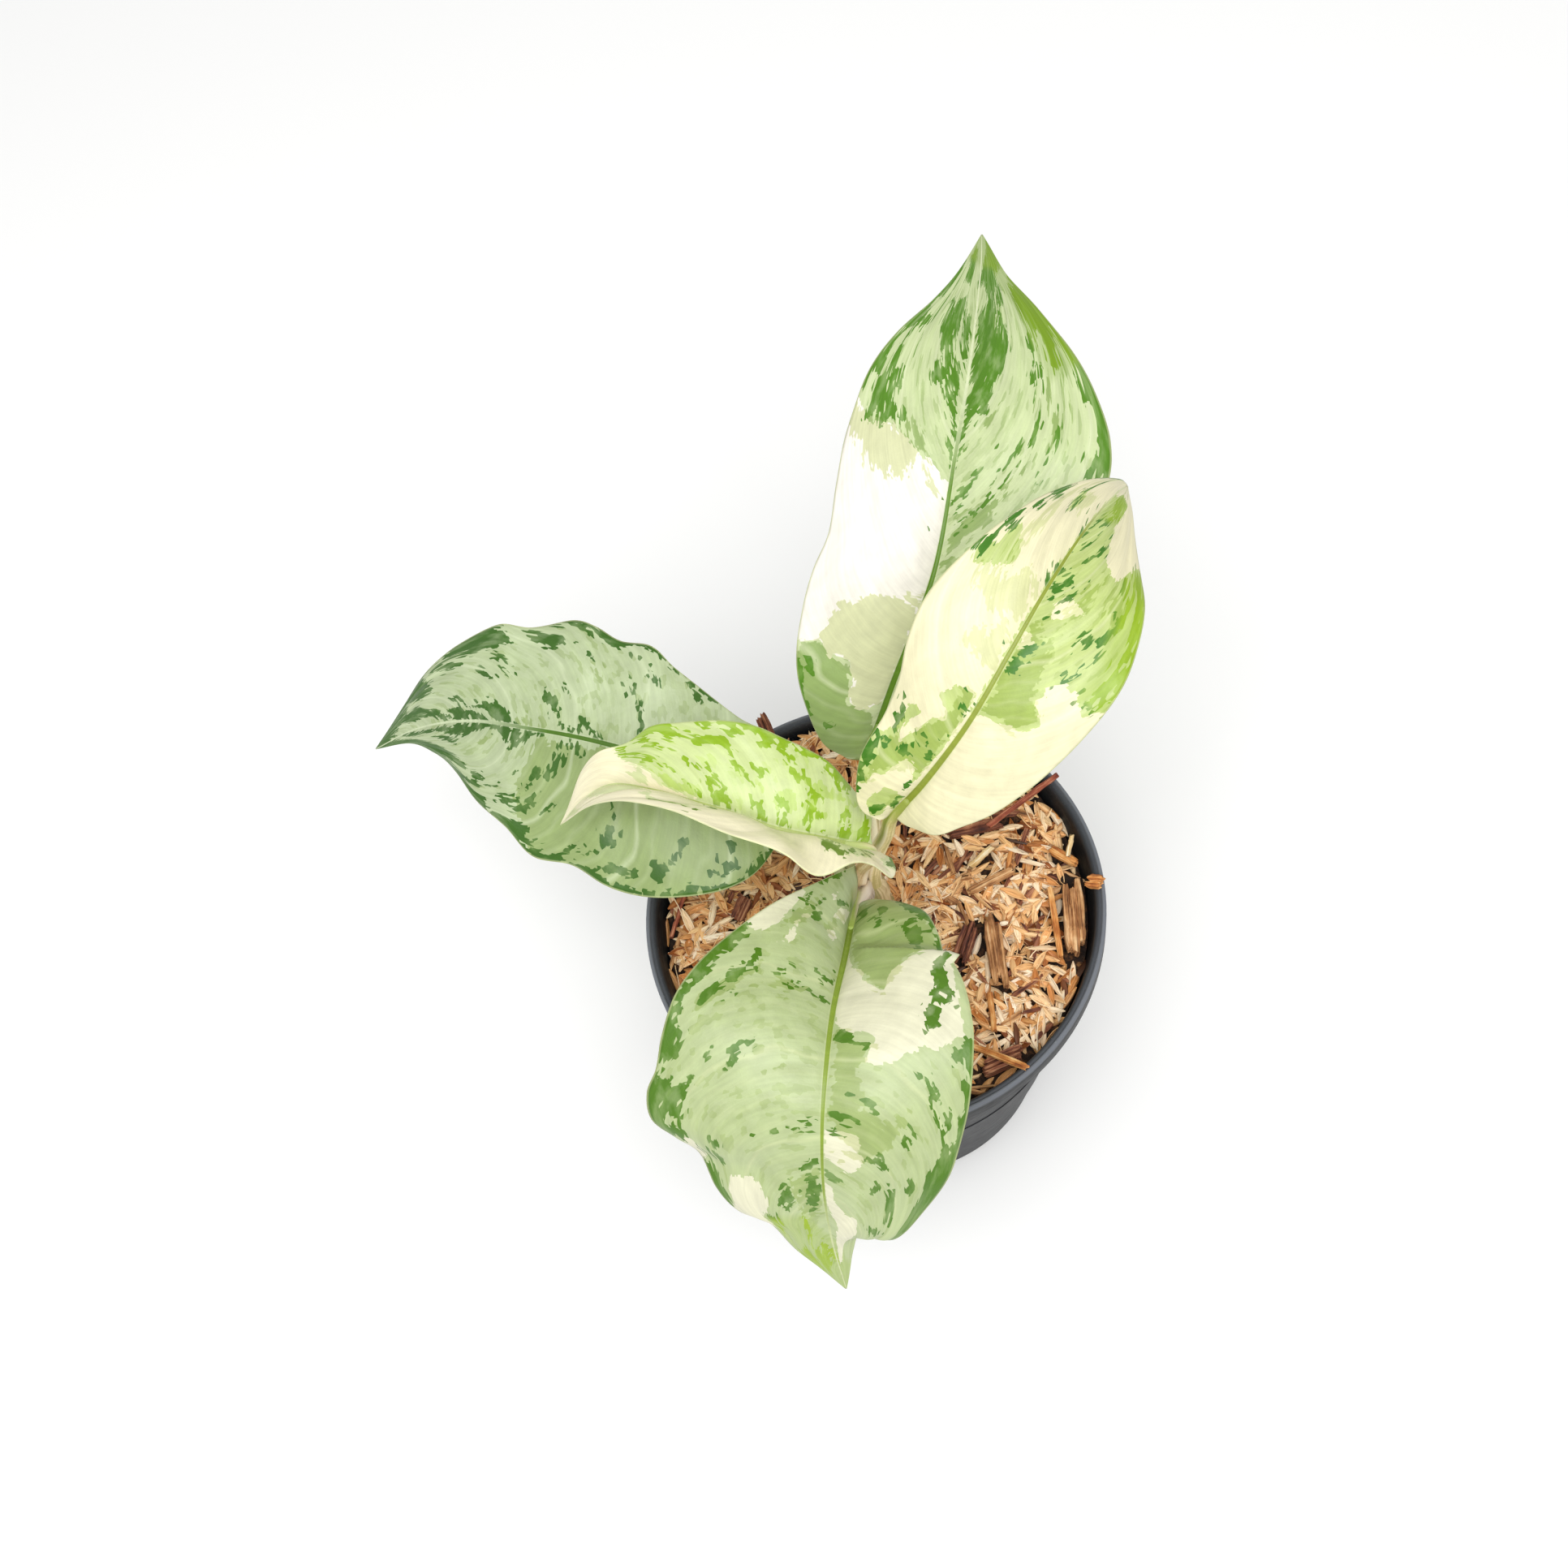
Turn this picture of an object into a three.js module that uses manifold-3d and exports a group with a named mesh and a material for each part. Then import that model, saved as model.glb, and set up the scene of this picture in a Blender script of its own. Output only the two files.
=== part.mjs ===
// A variegated Chinese evergreen in a nursery pot, in millimetres with +Z up.
// The origin is the middle of the pot's base, on the surface that the pot stands on.
// The broad leaf that arches over the rim hangs towards -Y, and the largest leaf reaches towards +Y.
import * as THREE from "three";
import { mergeVertices } from "three/addons/utils/BufferGeometryUtils.js";
import Module from "manifold-3d";

const wasm = await Module();
wasm.setup();

// Pot: a five inch nursery pot with a tapered wall. Its rim has a bead on the outside, a lower band
// inside the bead and a skirt that hangs from it.
const POT_HEIGHT = 112;
const RIM_RADIUS = 65;
const RIM_WIDTH = 2.8;
const RIM_SKIRT = 8;
const RIM_THICKNESS = 1.5;
const SKIRT_THICKNESS = 0.9;
const BEAD_WIDTH = 1.3;
const BAND_DROP = 0.5;
const BASE_RADIUS = 46;
const BASE_EDGE = 2.2;
const POT_WALL = 0.95;
const POT_FLOOR = 1.6;
const FLOOR_FILLET = 1.6;
const POT_SIDES = 48;
const DRAIN_HOLES = 8;
const DRAIN_HOLE_RADIUS = 4.5;
const DRAIN_CIRCLE = 33;
const DRAIN_SIDES = 10;
const GROOVE_WIDTH = 3;
const GROOVE_DEPTH = 0.7;

// Bed of rice husks and wood chips.
const BED_SURFACE = 101;
const BED_RISE = 8;
const BED_RISE_FROM = -8;
const BED_RISE_TO = 56;
const BED_WAVE = 0.8;
const BED_WAVE_LENGTH = 10;
const BED_SIDES = 40;
const BED_RINGS = [1, 0.88, 0.7, 0.5, 0.28, 0];
const HUSKS = 100;
const HUSK_LENGTH = 15;
const HUSK_WIDTH = 5.5;
const HUSK_DEPTH = 3.2;
const HUSK_TILT = 0.3;
const HUSK_SIZES = [0.85, 1.15];
const HUSK_LIFT = 0.3;
const HUSK_SEED = 9;
// The golden angle, which spreads places evenly over a disc.
const GOLDEN_ANGLE = Math.PI * (3 - Math.sqrt(5));
// A lump of coir heaped against the right side of the wall: its middle and its radius.
const LUMP_AT = [57, -4.4, 105];
const LUMP_RADIUS = 5.4;

// Clear space kept between pieces that touch, and the distance under which two corners are one.
const CLEARANCE = 0.35;
const MERGE_DISTANCE = 1e-4;

// Cane, as [half width, height] from its buried foot to its top. Its two rings are old leaf scars.
const CANE_PROFILE = [
  [3, 58], [5.6, 74], [6.3, 100], [5.9, 111], [6.3, 112.5], [5.5, 114], [5.2, 121.5], [5.5, 123],
  [4.9, 124.5], [4.4, 132], [3.2, 133.5],
];
const CANE_SIDES = 16;

// Roots, as [distance from the cane's middle, height] from the cane outwards.
const ROOTS = 6;
const ROOT_LINE = [[0, 74], [10, 68], [21, 52], [30, 34]];
const ROOT_WIDTHS = [[0, 1.5], [1, 0.6]];
const ROOT_TURN = 0.3;
const ROOT_STEPS = 4;
const ROOT_SIDES = 6;

// Blades and stalks.
const BLADE_THICKNESS = 0.7;
const BLADE_ROWS = 20;
const BLADE_COLUMNS = [-1, -0.7, -0.36, -0.08, 0, 0.08, 0.36, 0.7, 1];
const BLADE_ARCH = 0.07;
const RIB_DEPTH = 1.3;
const STALK_SIDES = 10;
const STALK_STEPS = 11;

// Each leaf's guide points: the midrib from the blade's base to its tip, the left and right margins
// from the basal lobes to the tip, and the stalk from inside the cane to the blade. Widths are half
// widths of the stalk at fractions of its length: the sheath is the wide lower part.
const LEAVES = {
  // The oldest leaf, low on the left, with waved margins.
  leaf_a_low_left: {
    colour: 0xa9c08c,
    midrib: [
      [-19, 23, 148], [-33.5, 28.5, 159], [-49, 37.5, 163], [-63, 47, 162], [-78, 57, 158],
      [-96.5, 70.5, 148], [-114, 80, 135], [-130.5, 86, 119],
    ],
    left: [
      [-19.5, 14, 148], [-23.5, 7.5, 149], [-30.5, 2, 149], [-40, 0, 149], [-51, 1.5, 149],
      [-61.5, 5.5, 148], [-69.5, 10, 150], [-76.5, 18.5, 149], [-87, 25, 147], [-92.5, 35, 149],
      [-99, 46, 146], [-104, 58.5, 143], [-109.5, 69, 138], [-117.5, 78, 131], [-130.5, 86, 119],
    ],
    right: [
      [-15, 28, 153], [-17, 36.5, 160], [-23, 41.5, 164], [-30, 50, 167], [-36.5, 57.5, 171],
      [-41, 64.5, 173], [-49, 70.5, 170], [-54.5, 75.5, 172], [-60.5, 80, 171], [-72.5, 84, 166],
      [-81.5, 88.5, 165], [-93, 91, 157], [-103.5, 91.5, 149], [-113.5, 90, 137], [-130.5, 86, 119],
    ],
    stalk: [
      [-0.5, 0.5, 116], [-3.6, 4, 123], [-7, 8, 132], [-12.5, 14.5, 141.5], [-19, 22.5, 147.3],
      [-26, 25.6, 152.6],
    ],
    widths: [[0, 3.6], [0.3, 3], [0.5, 2], [0.9, 1.8], [1, 1.1]],
  },
  // The broad leaf that arches over the near rim, with a notch in its left margin.
  leaf_e_front: {
    colour: 0xb4cb90,
    midrib: [
      [-6, -14.5, 150], [-11.5, -32, 163], [-18, -49, 172], [-23.5, -65, 175], [-28, -77.5, 169],
      [-31.5, -87.5, 153], [-33, -95.5, 133], [-33, -102.5, 112],
    ],
    left: [
      [-0.5, -15, 153], [6, -19.5, 158], [11, -26, 163], [12.5, -35, 168], [12.5, -42.5, 172],
      [14.5, -52, 176], [14, -63, 177], [11.5, -72, 175], [7, -82.5, 168], [0.5, -91.5, 157],
      [-9, -96.5, 146], [-18, -99.5, 138], [-25, -95, 134], [-28.5, -97.5, 128],
      [-33, -102.5, 112],
    ],
    right: [
      [-3, -7.5, 160], [-12, -12, 167], [-26.5, -18.5, 175], [-38, -24.5, 178], [-47, -30.5, 180],
      [-54.5, -37.5, 180], [-60.5, -46, 177], [-64, -52.5, 173], [-67.5, -56.5, 169],
      [-68, -62, 165], [-63.5, -67, 161], [-59, -71, 157], [-57.5, -78.5, 151],
      [-53.5, -84.5, 145], [-46.5, -88.5, 139], [-42, -94, 127], [-33, -102.5, 112],
    ],
    stalk: [
      [-0.5, -0.5, 120], [-2.3, -2.6, 130], [-2.9, -4.9, 138], [-4.6, -10, 144.5],
      [-6, -14.5, 149.3], [-8.5, -23, 155.6],
    ],
    widths: [[0, 3.4], [0.35, 3.2], [0.55, 3.6], [0.75, 2.2], [1, 1.1]],
  },
  // The largest leaf, at the back.
  leaf_c_back: {
    colour: 0xbdd198,
    midrib: [
      [7.5, 26.5, 150], [19, 36.5, 170], [36, 54.5, 190], [49, 79.5, 203], [59.5, 103.5, 206],
      [70.5, 133.5, 203], [75.5, 150.5, 199],
    ],
    left: [
      [2.5, 27.5, 151], [-3, 32.5, 155], [-5, 42, 167], [-3.5, 50.5, 176], [1, 58.5, 184],
      [6, 65, 190], [12.5, 72, 194], [17.5, 82.5, 200], [24, 95, 204], [32.5, 107.5, 208],
      [43.5, 117.5, 210], [56, 126.5, 208], [66.5, 137.5, 204], [75.5, 150.5, 199],
    ],
    right: [
      [16, 28, 158], [35, 29, 176], [54.5, 36, 188], [73, 47.5, 197], [83.5, 58.5, 203],
      [87.5, 68.5, 207], [87.5, 81, 210], [85.5, 95.5, 211], [81, 113, 209], [77, 130, 205],
      [75.5, 150.5, 199],
    ],
    stalk: [
      [0.3, 1.5, 122], [1.6, 5, 128], [3.9, 9.7, 135], [5.4, 13.3, 140], [6.4, 18.9, 145],
      [7.5, 26, 149.5], [13.2, 31.5, 159.2],
    ],
    widths: [[0, 3.2], [0.3, 2.8], [0.5, 2], [0.9, 1.8], [1, 1.1]],
  },
  // The narrow leaf folded along its midrib, high on the left.
  leaf_b_high_left: {
    colour: 0xdfe8ad,
    midrib: [
      [2, -12, 177], [-9, -11, 188], [-20.5, -7, 193], [-30.5, -1, 196], [-39.5, 5, 196],
      [-49, 12.5, 193], [-58.5, 20, 186], [-67.5, 23, 176], [-76, 24, 163],
    ],
    left: [
      [6, -16.5, 180], [6, -21, 183], [4, -25, 187], [0, -24.5, 196], [-4.5, -25, 202],
      [-13, -28, 207], [-19, -23.5, 212], [-25, -19, 213], [-34.5, -11.5, 213],
      [-42.5, -4.5, 211], [-50.5, 3, 205], [-59, 10.5, 196], [-67, 16.5, 184], [-76, 24, 163],
    ],
    right: [
      [2.5, -7.5, 179], [3.5, -4.5, 181], [1.5, 1, 184], [-3, 7, 191], [-8, 10.5, 196],
      [-12, 13.5, 198], [-19, 18, 201], [-27.5, 21, 203], [-37.5, 24, 202], [-44.5, 26, 200],
      [-52, 26.5, 194], [-59.5, 28.5, 189], [-65.5, 29, 181], [-71, 26, 172], [-76, 24, 163],
    ],
    stalk: [
      [-2, -0.5, 128], [-2.6, -3.4, 140], [-1.9, -5.6, 150], [-0.8, -8, 160], [1.2, -10.8, 170],
      [0.6, -12, 177.6], [-5, -11.6, 183.6],
    ],
    widths: [[0, 2.4], [0.3, 2.3], [0.6, 1.9], [0.9, 1.7], [1, 1]],
  },
  // The youngest and highest leaf, at the right, with its tip bent down.
  leaf_d_high_right: {
    colour: 0xe3e9b6,
    midrib: [
      [8.5, -9, 188], [17.5, -9, 202], [30.5, -4, 217], [43.5, 6, 227], [56, 18, 231],
      [69.5, 32.5, 228], [81, 45.5, 219], [87, 53, 210],
    ],
    left: [
      [5, -10, 189], [1.5, -7.5, 191], [1, -3.5, 194], [4.5, 2, 203], [12, 7, 211],
      [17, 10.5, 219], [21.5, 17, 227], [29, 24, 234], [40.5, 30, 238], [53.5, 37, 237],
      [67, 45, 230], [78.5, 50.5, 221], [85, 53.5, 213], [87, 53, 210],
    ],
    right: [
      [11, -13.5, 189], [17, -19, 192], [23.5, -20.5, 196], [31.5, -21.5, 201], [42, -20, 208],
      [53, -17, 216], [64.5, -10.5, 223], [71.5, -2.5, 226], [77, 8, 228], [80.5, 23, 224],
      [84, 39, 217], [87, 53, 210],
    ],
    stalk: [
      [1, 0, 128], [1.2, -0.6, 137], [2.1, -1.8, 147], [4, -3.4, 158], [6.7, -5.9, 172],
      [8.3, -8.4, 186], [13, -9, 194.4],
    ],
    widths: [[0, 2.7], [0.3, 2.6], [0.6, 2], [0.9, 1.8], [1, 1.1]],
  },
};

// Loose wood on the bed. A plank is a flat splinter with broken ends and a stick is a round one.
// Each runs between its two end points.
const WOOD = {
  slab_right: {
    plank: true, from: [56, -5.9, 105.6], to: [51.6, -25.7, 105.6], width: 6, depth: 4.2,
    colour: 0xb98a5c,
  },
  slab_middle: {
    plank: true, from: [31.5, -9.2, 104.2], to: [28.9, -28.6, 104.2], width: 5, depth: 3.4,
    colour: 0xb68a60,
  },
  strip_right: {
    plank: true, from: [50, -4.6, 104.4], to: [47, -26.2, 104.4], width: 1.8, depth: 2.8,
    colour: 0x9a6a44,
  },
  plank_bark: {
    plank: true, from: [25.8, -9.4, 104], to: [19.6, -18.8, 103.4], width: 4.8, depth: 3.6,
    colour: 0x7a4a34,
  },
  plank_grey: {
    plank: true, from: [27.2, 0.4, 103.8], to: [41.7, 3.6, 104], width: 2.6, depth: 1.4,
    colour: 0x9c7658,
  },
  plank_brown: {
    plank: true, from: [53.4, 6.6, 105.2], to: [59.2, -0.6, 106.2], width: 2.6, depth: 2.2,
    colour: 0x94603e,
  },
  block_rim: {
    plank: true, from: [59.4, -8.9, 112.6], to: [63.6, -11, 114], width: 4, depth: 2.2,
    colour: 0xa8683a,
  },
  bark_strip: {
    plank: true, from: [25.6, 18.7, 106.1], to: [41.4, 17.9, 106.1], width: 3.4, depth: 2,
    colour: 0x7d5038,
  },
  bark_chunk: {
    plank: true, from: [17.5, -51.6, 104], to: [29.1, -49.6, 104], width: 4.8, depth: 4,
    colour: 0x9c5a42,
  },
  bark_chip_left: {
    plank: true, from: [-34, 15.6, 105.8], to: [-38.6, 9.7, 104.8], width: 4.4, depth: 2.4,
    colour: 0x6b4242,
  },
  bark_chip_far: {
    plank: true, from: [-15.6, 55.5, 111.2], to: [-17.4, 67.2, 115.2], width: 3.8, depth: 1.2,
    colour: 0x6a3a3a,
  },
  reed_middle: {
    from: [29.9, 7.5, 104.9], to: [37.4, 11.2, 105.9], width: 2.2, depth: 2.2, colour: 0xdcb880,
  },
  reed_right: {
    from: [57.2, 1.8, 108.1], to: [59.8, 7, 109.6], width: 1.6, depth: 1.6, colour: 0xe4c48e,
  },
  stick_over_rim: {
    from: [38, 16.8, 108.5], to: [60.4, 23.9, 115.1], width: 1.9, depth: 1.9, colour: 0x8a4632,
  },
  stick_orange: {
    from: [25.2, -30.6, 103.6], to: [23.5, -41.4, 103.2], width: 1.9, depth: 1.9, colour: 0xc07a4a,
  },
  stick_long: {
    plank: true, from: [15, -43, 103.8], to: [28.8, -57.4, 114], width: 1.8, depth: 1.2,
    colour: 0xc89258,
  },
  stick_left: {
    from: [-50.1, 23, 106.9], to: [-58.1, 9.6, 104.6], width: 1.4, depth: 1.4, colour: 0xb0614c,
  },
};
// Outline of a plank, as fractions of its half length and half width.
const PLANK_OUTLINE = [
  [-0.97, -0.7], [-0.86, -1], [0.86, -0.92], [1, -0.3], [0.96, 0.6], [0.86, 1], [-0.9, 0.9],
  [-1, 0.2],
];
const STICK_SIDES = 7;
const STICK_TAPER = 0.85;

const POT_COLOUR = 0x2b2a2b;
const BED_COLOUR = 0xd3a878;
const CANE_COLOUR = 0xa9a06a;

// A closed geometry as a solid that can be joined and cut.
function solidFrom(geometry) {
  const loose = geometry.index ? geometry.toNonIndexed() : geometry;
  const bare = new THREE.BufferGeometry();
  bare.setAttribute("position", loose.getAttribute("position"));
  const merged = mergeVertices(bare, MERGE_DISTANCE);
  const mesh = new wasm.Mesh({
    numProp: 3,
    vertProperties: merged.attributes.position.array,
    triVerts: new Uint32Array(merged.index.array),
  });
  return new wasm.Manifold(mesh);
}

function geometryFrom(solid) {
  const mesh = solid.getMesh();
  const geometry = new THREE.BufferGeometry();
  geometry.setAttribute("position", new THREE.BufferAttribute(mesh.vertProperties, 3));
  geometry.setIndex(new THREE.BufferAttribute(mesh.triVerts, 1));
  return geometry;
}

// The biggest body of a solid: crumbs that a cut leaves behind are dropped.
function largestBody(solid) {
  return solid.decompose().reduce((best, body) => (body.volume() > best.volume() ? body : best));
}

// A repeatable draw of numbers between 0 and 1.
function seededDraw(seed) {
  let state = seed;
  return () => {
    state = (state * 1664525 + 1013904223) % 4294967296;
    return state / 4294967296;
  };
}

function smoothCurve(points) {
  const places = points.map((point) => new THREE.Vector3(...point));
  return new THREE.CatmullRomCurve3(places, false, "catmullrom", 0.5);
}

// The value at a fraction of the way, between the two nearest of [fraction, value] pairs.
function valueAlong(pairs, fraction) {
  const next = Math.max(1, pairs.findIndex(([at]) => at >= fraction));
  const [[from, low], [to, high]] = [pairs[next - 1], pairs[next]];
  return THREE.MathUtils.lerp(low, high, (fraction - from) / (to - from));
}

// A turned solid from a profile of [radius, height] that runs from the axis round to the axis,
// up its outer side and back along its top.
function turned(profile, sides) {
  const outline = profile.map(([radius, height]) => new THREE.Vector2(radius, height));
  return new THREE.LatheGeometry(outline, sides).rotateX(Math.PI / 2);
}

// Outer and inner radius of the pot's wall at a height.
const wallRadius = (height) =>
  THREE.MathUtils.mapLinear(height, BASE_EDGE, POT_HEIGHT, BASE_RADIUS, RIM_RADIUS - RIM_WIDTH + POT_WALL);
const innerRadius = (height) => wallRadius(height) - POT_WALL;

function potSolid() {
  const underRim = POT_HEIGHT - RIM_THICKNESS;
  const skirtInside = RIM_RADIUS - SKIRT_THICKNESS;
  const bandOutside = RIM_RADIUS - BEAD_WIDTH - 0.3;
  const bandHeight = POT_HEIGHT - BAND_DROP;
  const profile = [
    [0, 0],
    [BASE_RADIUS - BASE_EDGE, 0],
    [BASE_RADIUS - BASE_EDGE / 4, BASE_EDGE / 3],
    [BASE_RADIUS, BASE_EDGE],
    [wallRadius(underRim), underRim],
    [skirtInside, underRim],
    [skirtInside, POT_HEIGHT - RIM_SKIRT],
    [RIM_RADIUS, POT_HEIGHT - RIM_SKIRT],
    [RIM_RADIUS, POT_HEIGHT - BAND_DROP],
    [RIM_RADIUS - 0.4, POT_HEIGHT],
    [RIM_RADIUS - BEAD_WIDTH, POT_HEIGHT],
    [bandOutside, bandHeight],
    [RIM_RADIUS - RIM_WIDTH + 0.4, bandHeight],
    [innerRadius(bandHeight - 0.5), bandHeight - 0.5],
    [innerRadius(POT_FLOOR + FLOOR_FILLET), POT_FLOOR + FLOOR_FILLET],
    [innerRadius(POT_FLOOR) - FLOOR_FILLET, POT_FLOOR],
    [0, POT_FLOOR],
  ];
  let pot = solidFrom(turned(profile, POT_SIDES));
  for (let hole = 0; hole < DRAIN_HOLES; hole++) {
    const angle = ((hole + 0.5) / DRAIN_HOLES) * 2 * Math.PI;
    const drain = new THREE.CylinderGeometry(
      DRAIN_HOLE_RADIUS, DRAIN_HOLE_RADIUS, 4 * POT_FLOOR, DRAIN_SIDES);
    drain.rotateX(Math.PI / 2).translate(DRAIN_CIRCLE, 0, 0).rotateZ(angle);
    const groove = new THREE.BoxGeometry(BASE_RADIUS, GROOVE_WIDTH, 2 * GROOVE_DEPTH);
    groove.translate(DRAIN_CIRCLE + BASE_RADIUS / 2, 0, 0).rotateZ(angle);
    pot = pot.subtract(solidFrom(drain)).subtract(solidFrom(groove));
  }
  return pot;
}

// Height of the bed's surface: level at the near side, rising towards the far rim.
function bedHeight(x, y) {
  const rise = BED_RISE * THREE.MathUtils.smoothstep(y, BED_RISE_FROM, BED_RISE_TO);
  const wave = BED_WAVE * Math.sin(x / BED_WAVE_LENGTH) * Math.cos(y / BED_WAVE_LENGTH);
  return BED_SURFACE + rise + wave;
}

// One husk, a pointed grain shape lying on the bed.
function huskSolid(x, y, turn, tilt, size) {
  const husk = new THREE.OctahedronGeometry(0.5);
  husk.scale(HUSK_LENGTH * size, HUSK_WIDTH * size, HUSK_DEPTH * size);
  husk.rotateY(tilt).rotateZ(turn).translate(x, y, bedHeight(x, y) + HUSK_LIFT);
  return solidFrom(husk);
}

function bedSolid(cutters) {
  const bottom = POT_FLOOR + CLEARANCE;
  const fillet = bottom + FLOOR_FILLET;
  const edgeAt = (height) => innerRadius(height) - CLEARANCE;
  const lower = [[0, bottom], [edgeAt(bottom) - FLOOR_FILLET, bottom], [edgeAt(fillet), fillet]];
  const edge = edgeAt(BED_SURFACE);
  const rings = BED_RINGS.map((share) => [share * edge, BED_SURFACE]);
  const fill = turned([...lower, ...rings], BED_SIDES);
  const places = fill.attributes.position;
  for (let i = 0; i < places.count; i++) {
    if (places.getZ(i) < BED_SURFACE - 1) continue;
    places.setZ(i, bedHeight(places.getX(i), places.getY(i)));
  }
  const inside = turned([...lower, [edgeAt(POT_HEIGHT), POT_HEIGHT], [0, POT_HEIGHT]], BED_SIDES);
  const draw = seededDraw(HUSK_SEED);
  let bed = solidFrom(fill);
  for (let i = 0; i < HUSKS; i++) {
    const radius = edge * Math.sqrt((i + draw()) / HUSKS);
    const [x, y] = [radius * Math.cos(i * GOLDEN_ANGLE), radius * Math.sin(i * GOLDEN_ANGLE)];
    const turn = draw() * Math.PI;
    const tilt = THREE.MathUtils.lerp(-HUSK_TILT, HUSK_TILT, draw());
    bed = bed.add(huskSolid(x, y, turn, tilt, THREE.MathUtils.lerp(...HUSK_SIZES, draw())));
  }
  const lump = new THREE.IcosahedronGeometry(LUMP_RADIUS).translate(...LUMP_AT);
  bed = bed.add(solidFrom(lump)).intersect(solidFrom(inside));
  for (const cutter of cutters) bed = bed.subtract(cutter);
  return largestBody(bed);
}

// A loose piece of wood between its two ends, grown by a margin on every side.
function woodSolid({ plank, from, to, width, depth }, margin) {
  const [start, end] = [new THREE.Vector3(...from), new THREE.Vector3(...to)];
  const length = start.distanceTo(end) + 2 * margin;
  const across = width + 2 * margin;
  const thick = depth + 2 * margin;
  let wood;
  if (plank) {
    const outline = PLANK_OUTLINE.map(([x, y]) => new THREE.Vector2((x * length) / 2, (y * across) / 2));
    wood = new THREE.ExtrudeGeometry(new THREE.Shape(outline), { depth: thick, bevelEnabled: false });
    wood.translate(0, 0, -thick / 2);
  } else {
    wood = new THREE.CylinderGeometry(across / 2, (STICK_TAPER * across) / 2, length, STICK_SIDES);
    wood.rotateZ(Math.PI / 2);
  }
  const along = end.clone().sub(start).normalize();
  const side = new THREE.Vector3(0, 0, 1).cross(along).normalize();
  const up = along.clone().cross(side);
  const turn = new THREE.Matrix4().makeBasis(along, side, up);
  turn.setPosition(start.add(end).multiplyScalar(0.5));
  return solidFrom(wood.applyMatrix4(turn));
}

// A round stalk along a path, with half widths given at fractions of the way.
function stalkSolid(points, widths, steps, sides, margin = 0) {
  const path = smoothCurve(points);
  const section = new THREE.Shape().absarc(0, 0, 1, 0, 2 * Math.PI);
  const stalk = new THREE.ExtrudeGeometry(section, { steps, extrudePath: path, curveSegments: sides / 2 });
  const centres = path.getSpacedPoints(steps);
  const places = stalk.attributes.position;
  const place = new THREE.Vector3();
  for (let i = 0; i < places.count; i++) {
    place.fromBufferAttribute(places, i);
    const gaps = centres.map((centre) => centre.distanceTo(place));
    const nearest = gaps.indexOf(Math.min(...gaps));
    const halfWidth = valueAlong(widths, nearest / steps) + margin;
    place.sub(centres[nearest]).normalize().multiplyScalar(halfWidth).add(centres[nearest]);
    places.setXYZ(i, place.x, place.y, place.z);
  }
  return solidFrom(stalk);
}

// Cane and roots together, grown by a margin on every side.
function caneSolid(margin) {
  const outline = CANE_PROFILE.map(([halfWidth, height]) => [halfWidth + margin, height]);
  outline[0][1] -= margin;
  outline[outline.length - 1][1] += margin;
  const foot = [0, outline[0][1]];
  const top = [0, outline[outline.length - 1][1]];
  let cane = solidFrom(turned([foot, ...outline, top], CANE_SIDES));
  for (let root = 0; root < ROOTS; root++) {
    const angle = (root / ROOTS) * 2 * Math.PI + ROOT_TURN;
    const [dx, dy] = [Math.cos(angle), Math.sin(angle)];
    const points = ROOT_LINE.map(([reach, height]) => [reach * dx, reach * dy, height]);
    points[points.length - 1][2] -= margin;
    cane = cane.add(stalkSolid(points, ROOT_WIDTHS, ROOT_STEPS, ROOT_SIDES, margin));
  }
  return cane;
}

// A point on the blade at a row of the guide lines and a share of the way across: the left margin
// is -1, the midrib 0 and the right margin 1. Each half is arched upwards.
function bladePoint(lines, row, share) {
  const middle = lines.midrib[row];
  const margin = (share < 0 ? lines.left : lines.right)[row];
  const next = lines.midrib[Math.min(row + 1, BLADE_ROWS)];
  const along = next.clone().sub(lines.midrib[Math.max(row - 1, 0)]);
  const across = margin.clone().sub(middle);
  const up = share < 0 ? along.clone().cross(across) : across.clone().cross(along);
  const part = Math.abs(share);
  const arch = BLADE_ARCH * across.length() * 4 * part * (1 - part);
  return middle.clone().addScaledVector(across, part).addScaledVector(up.normalize(), arch);
}

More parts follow.
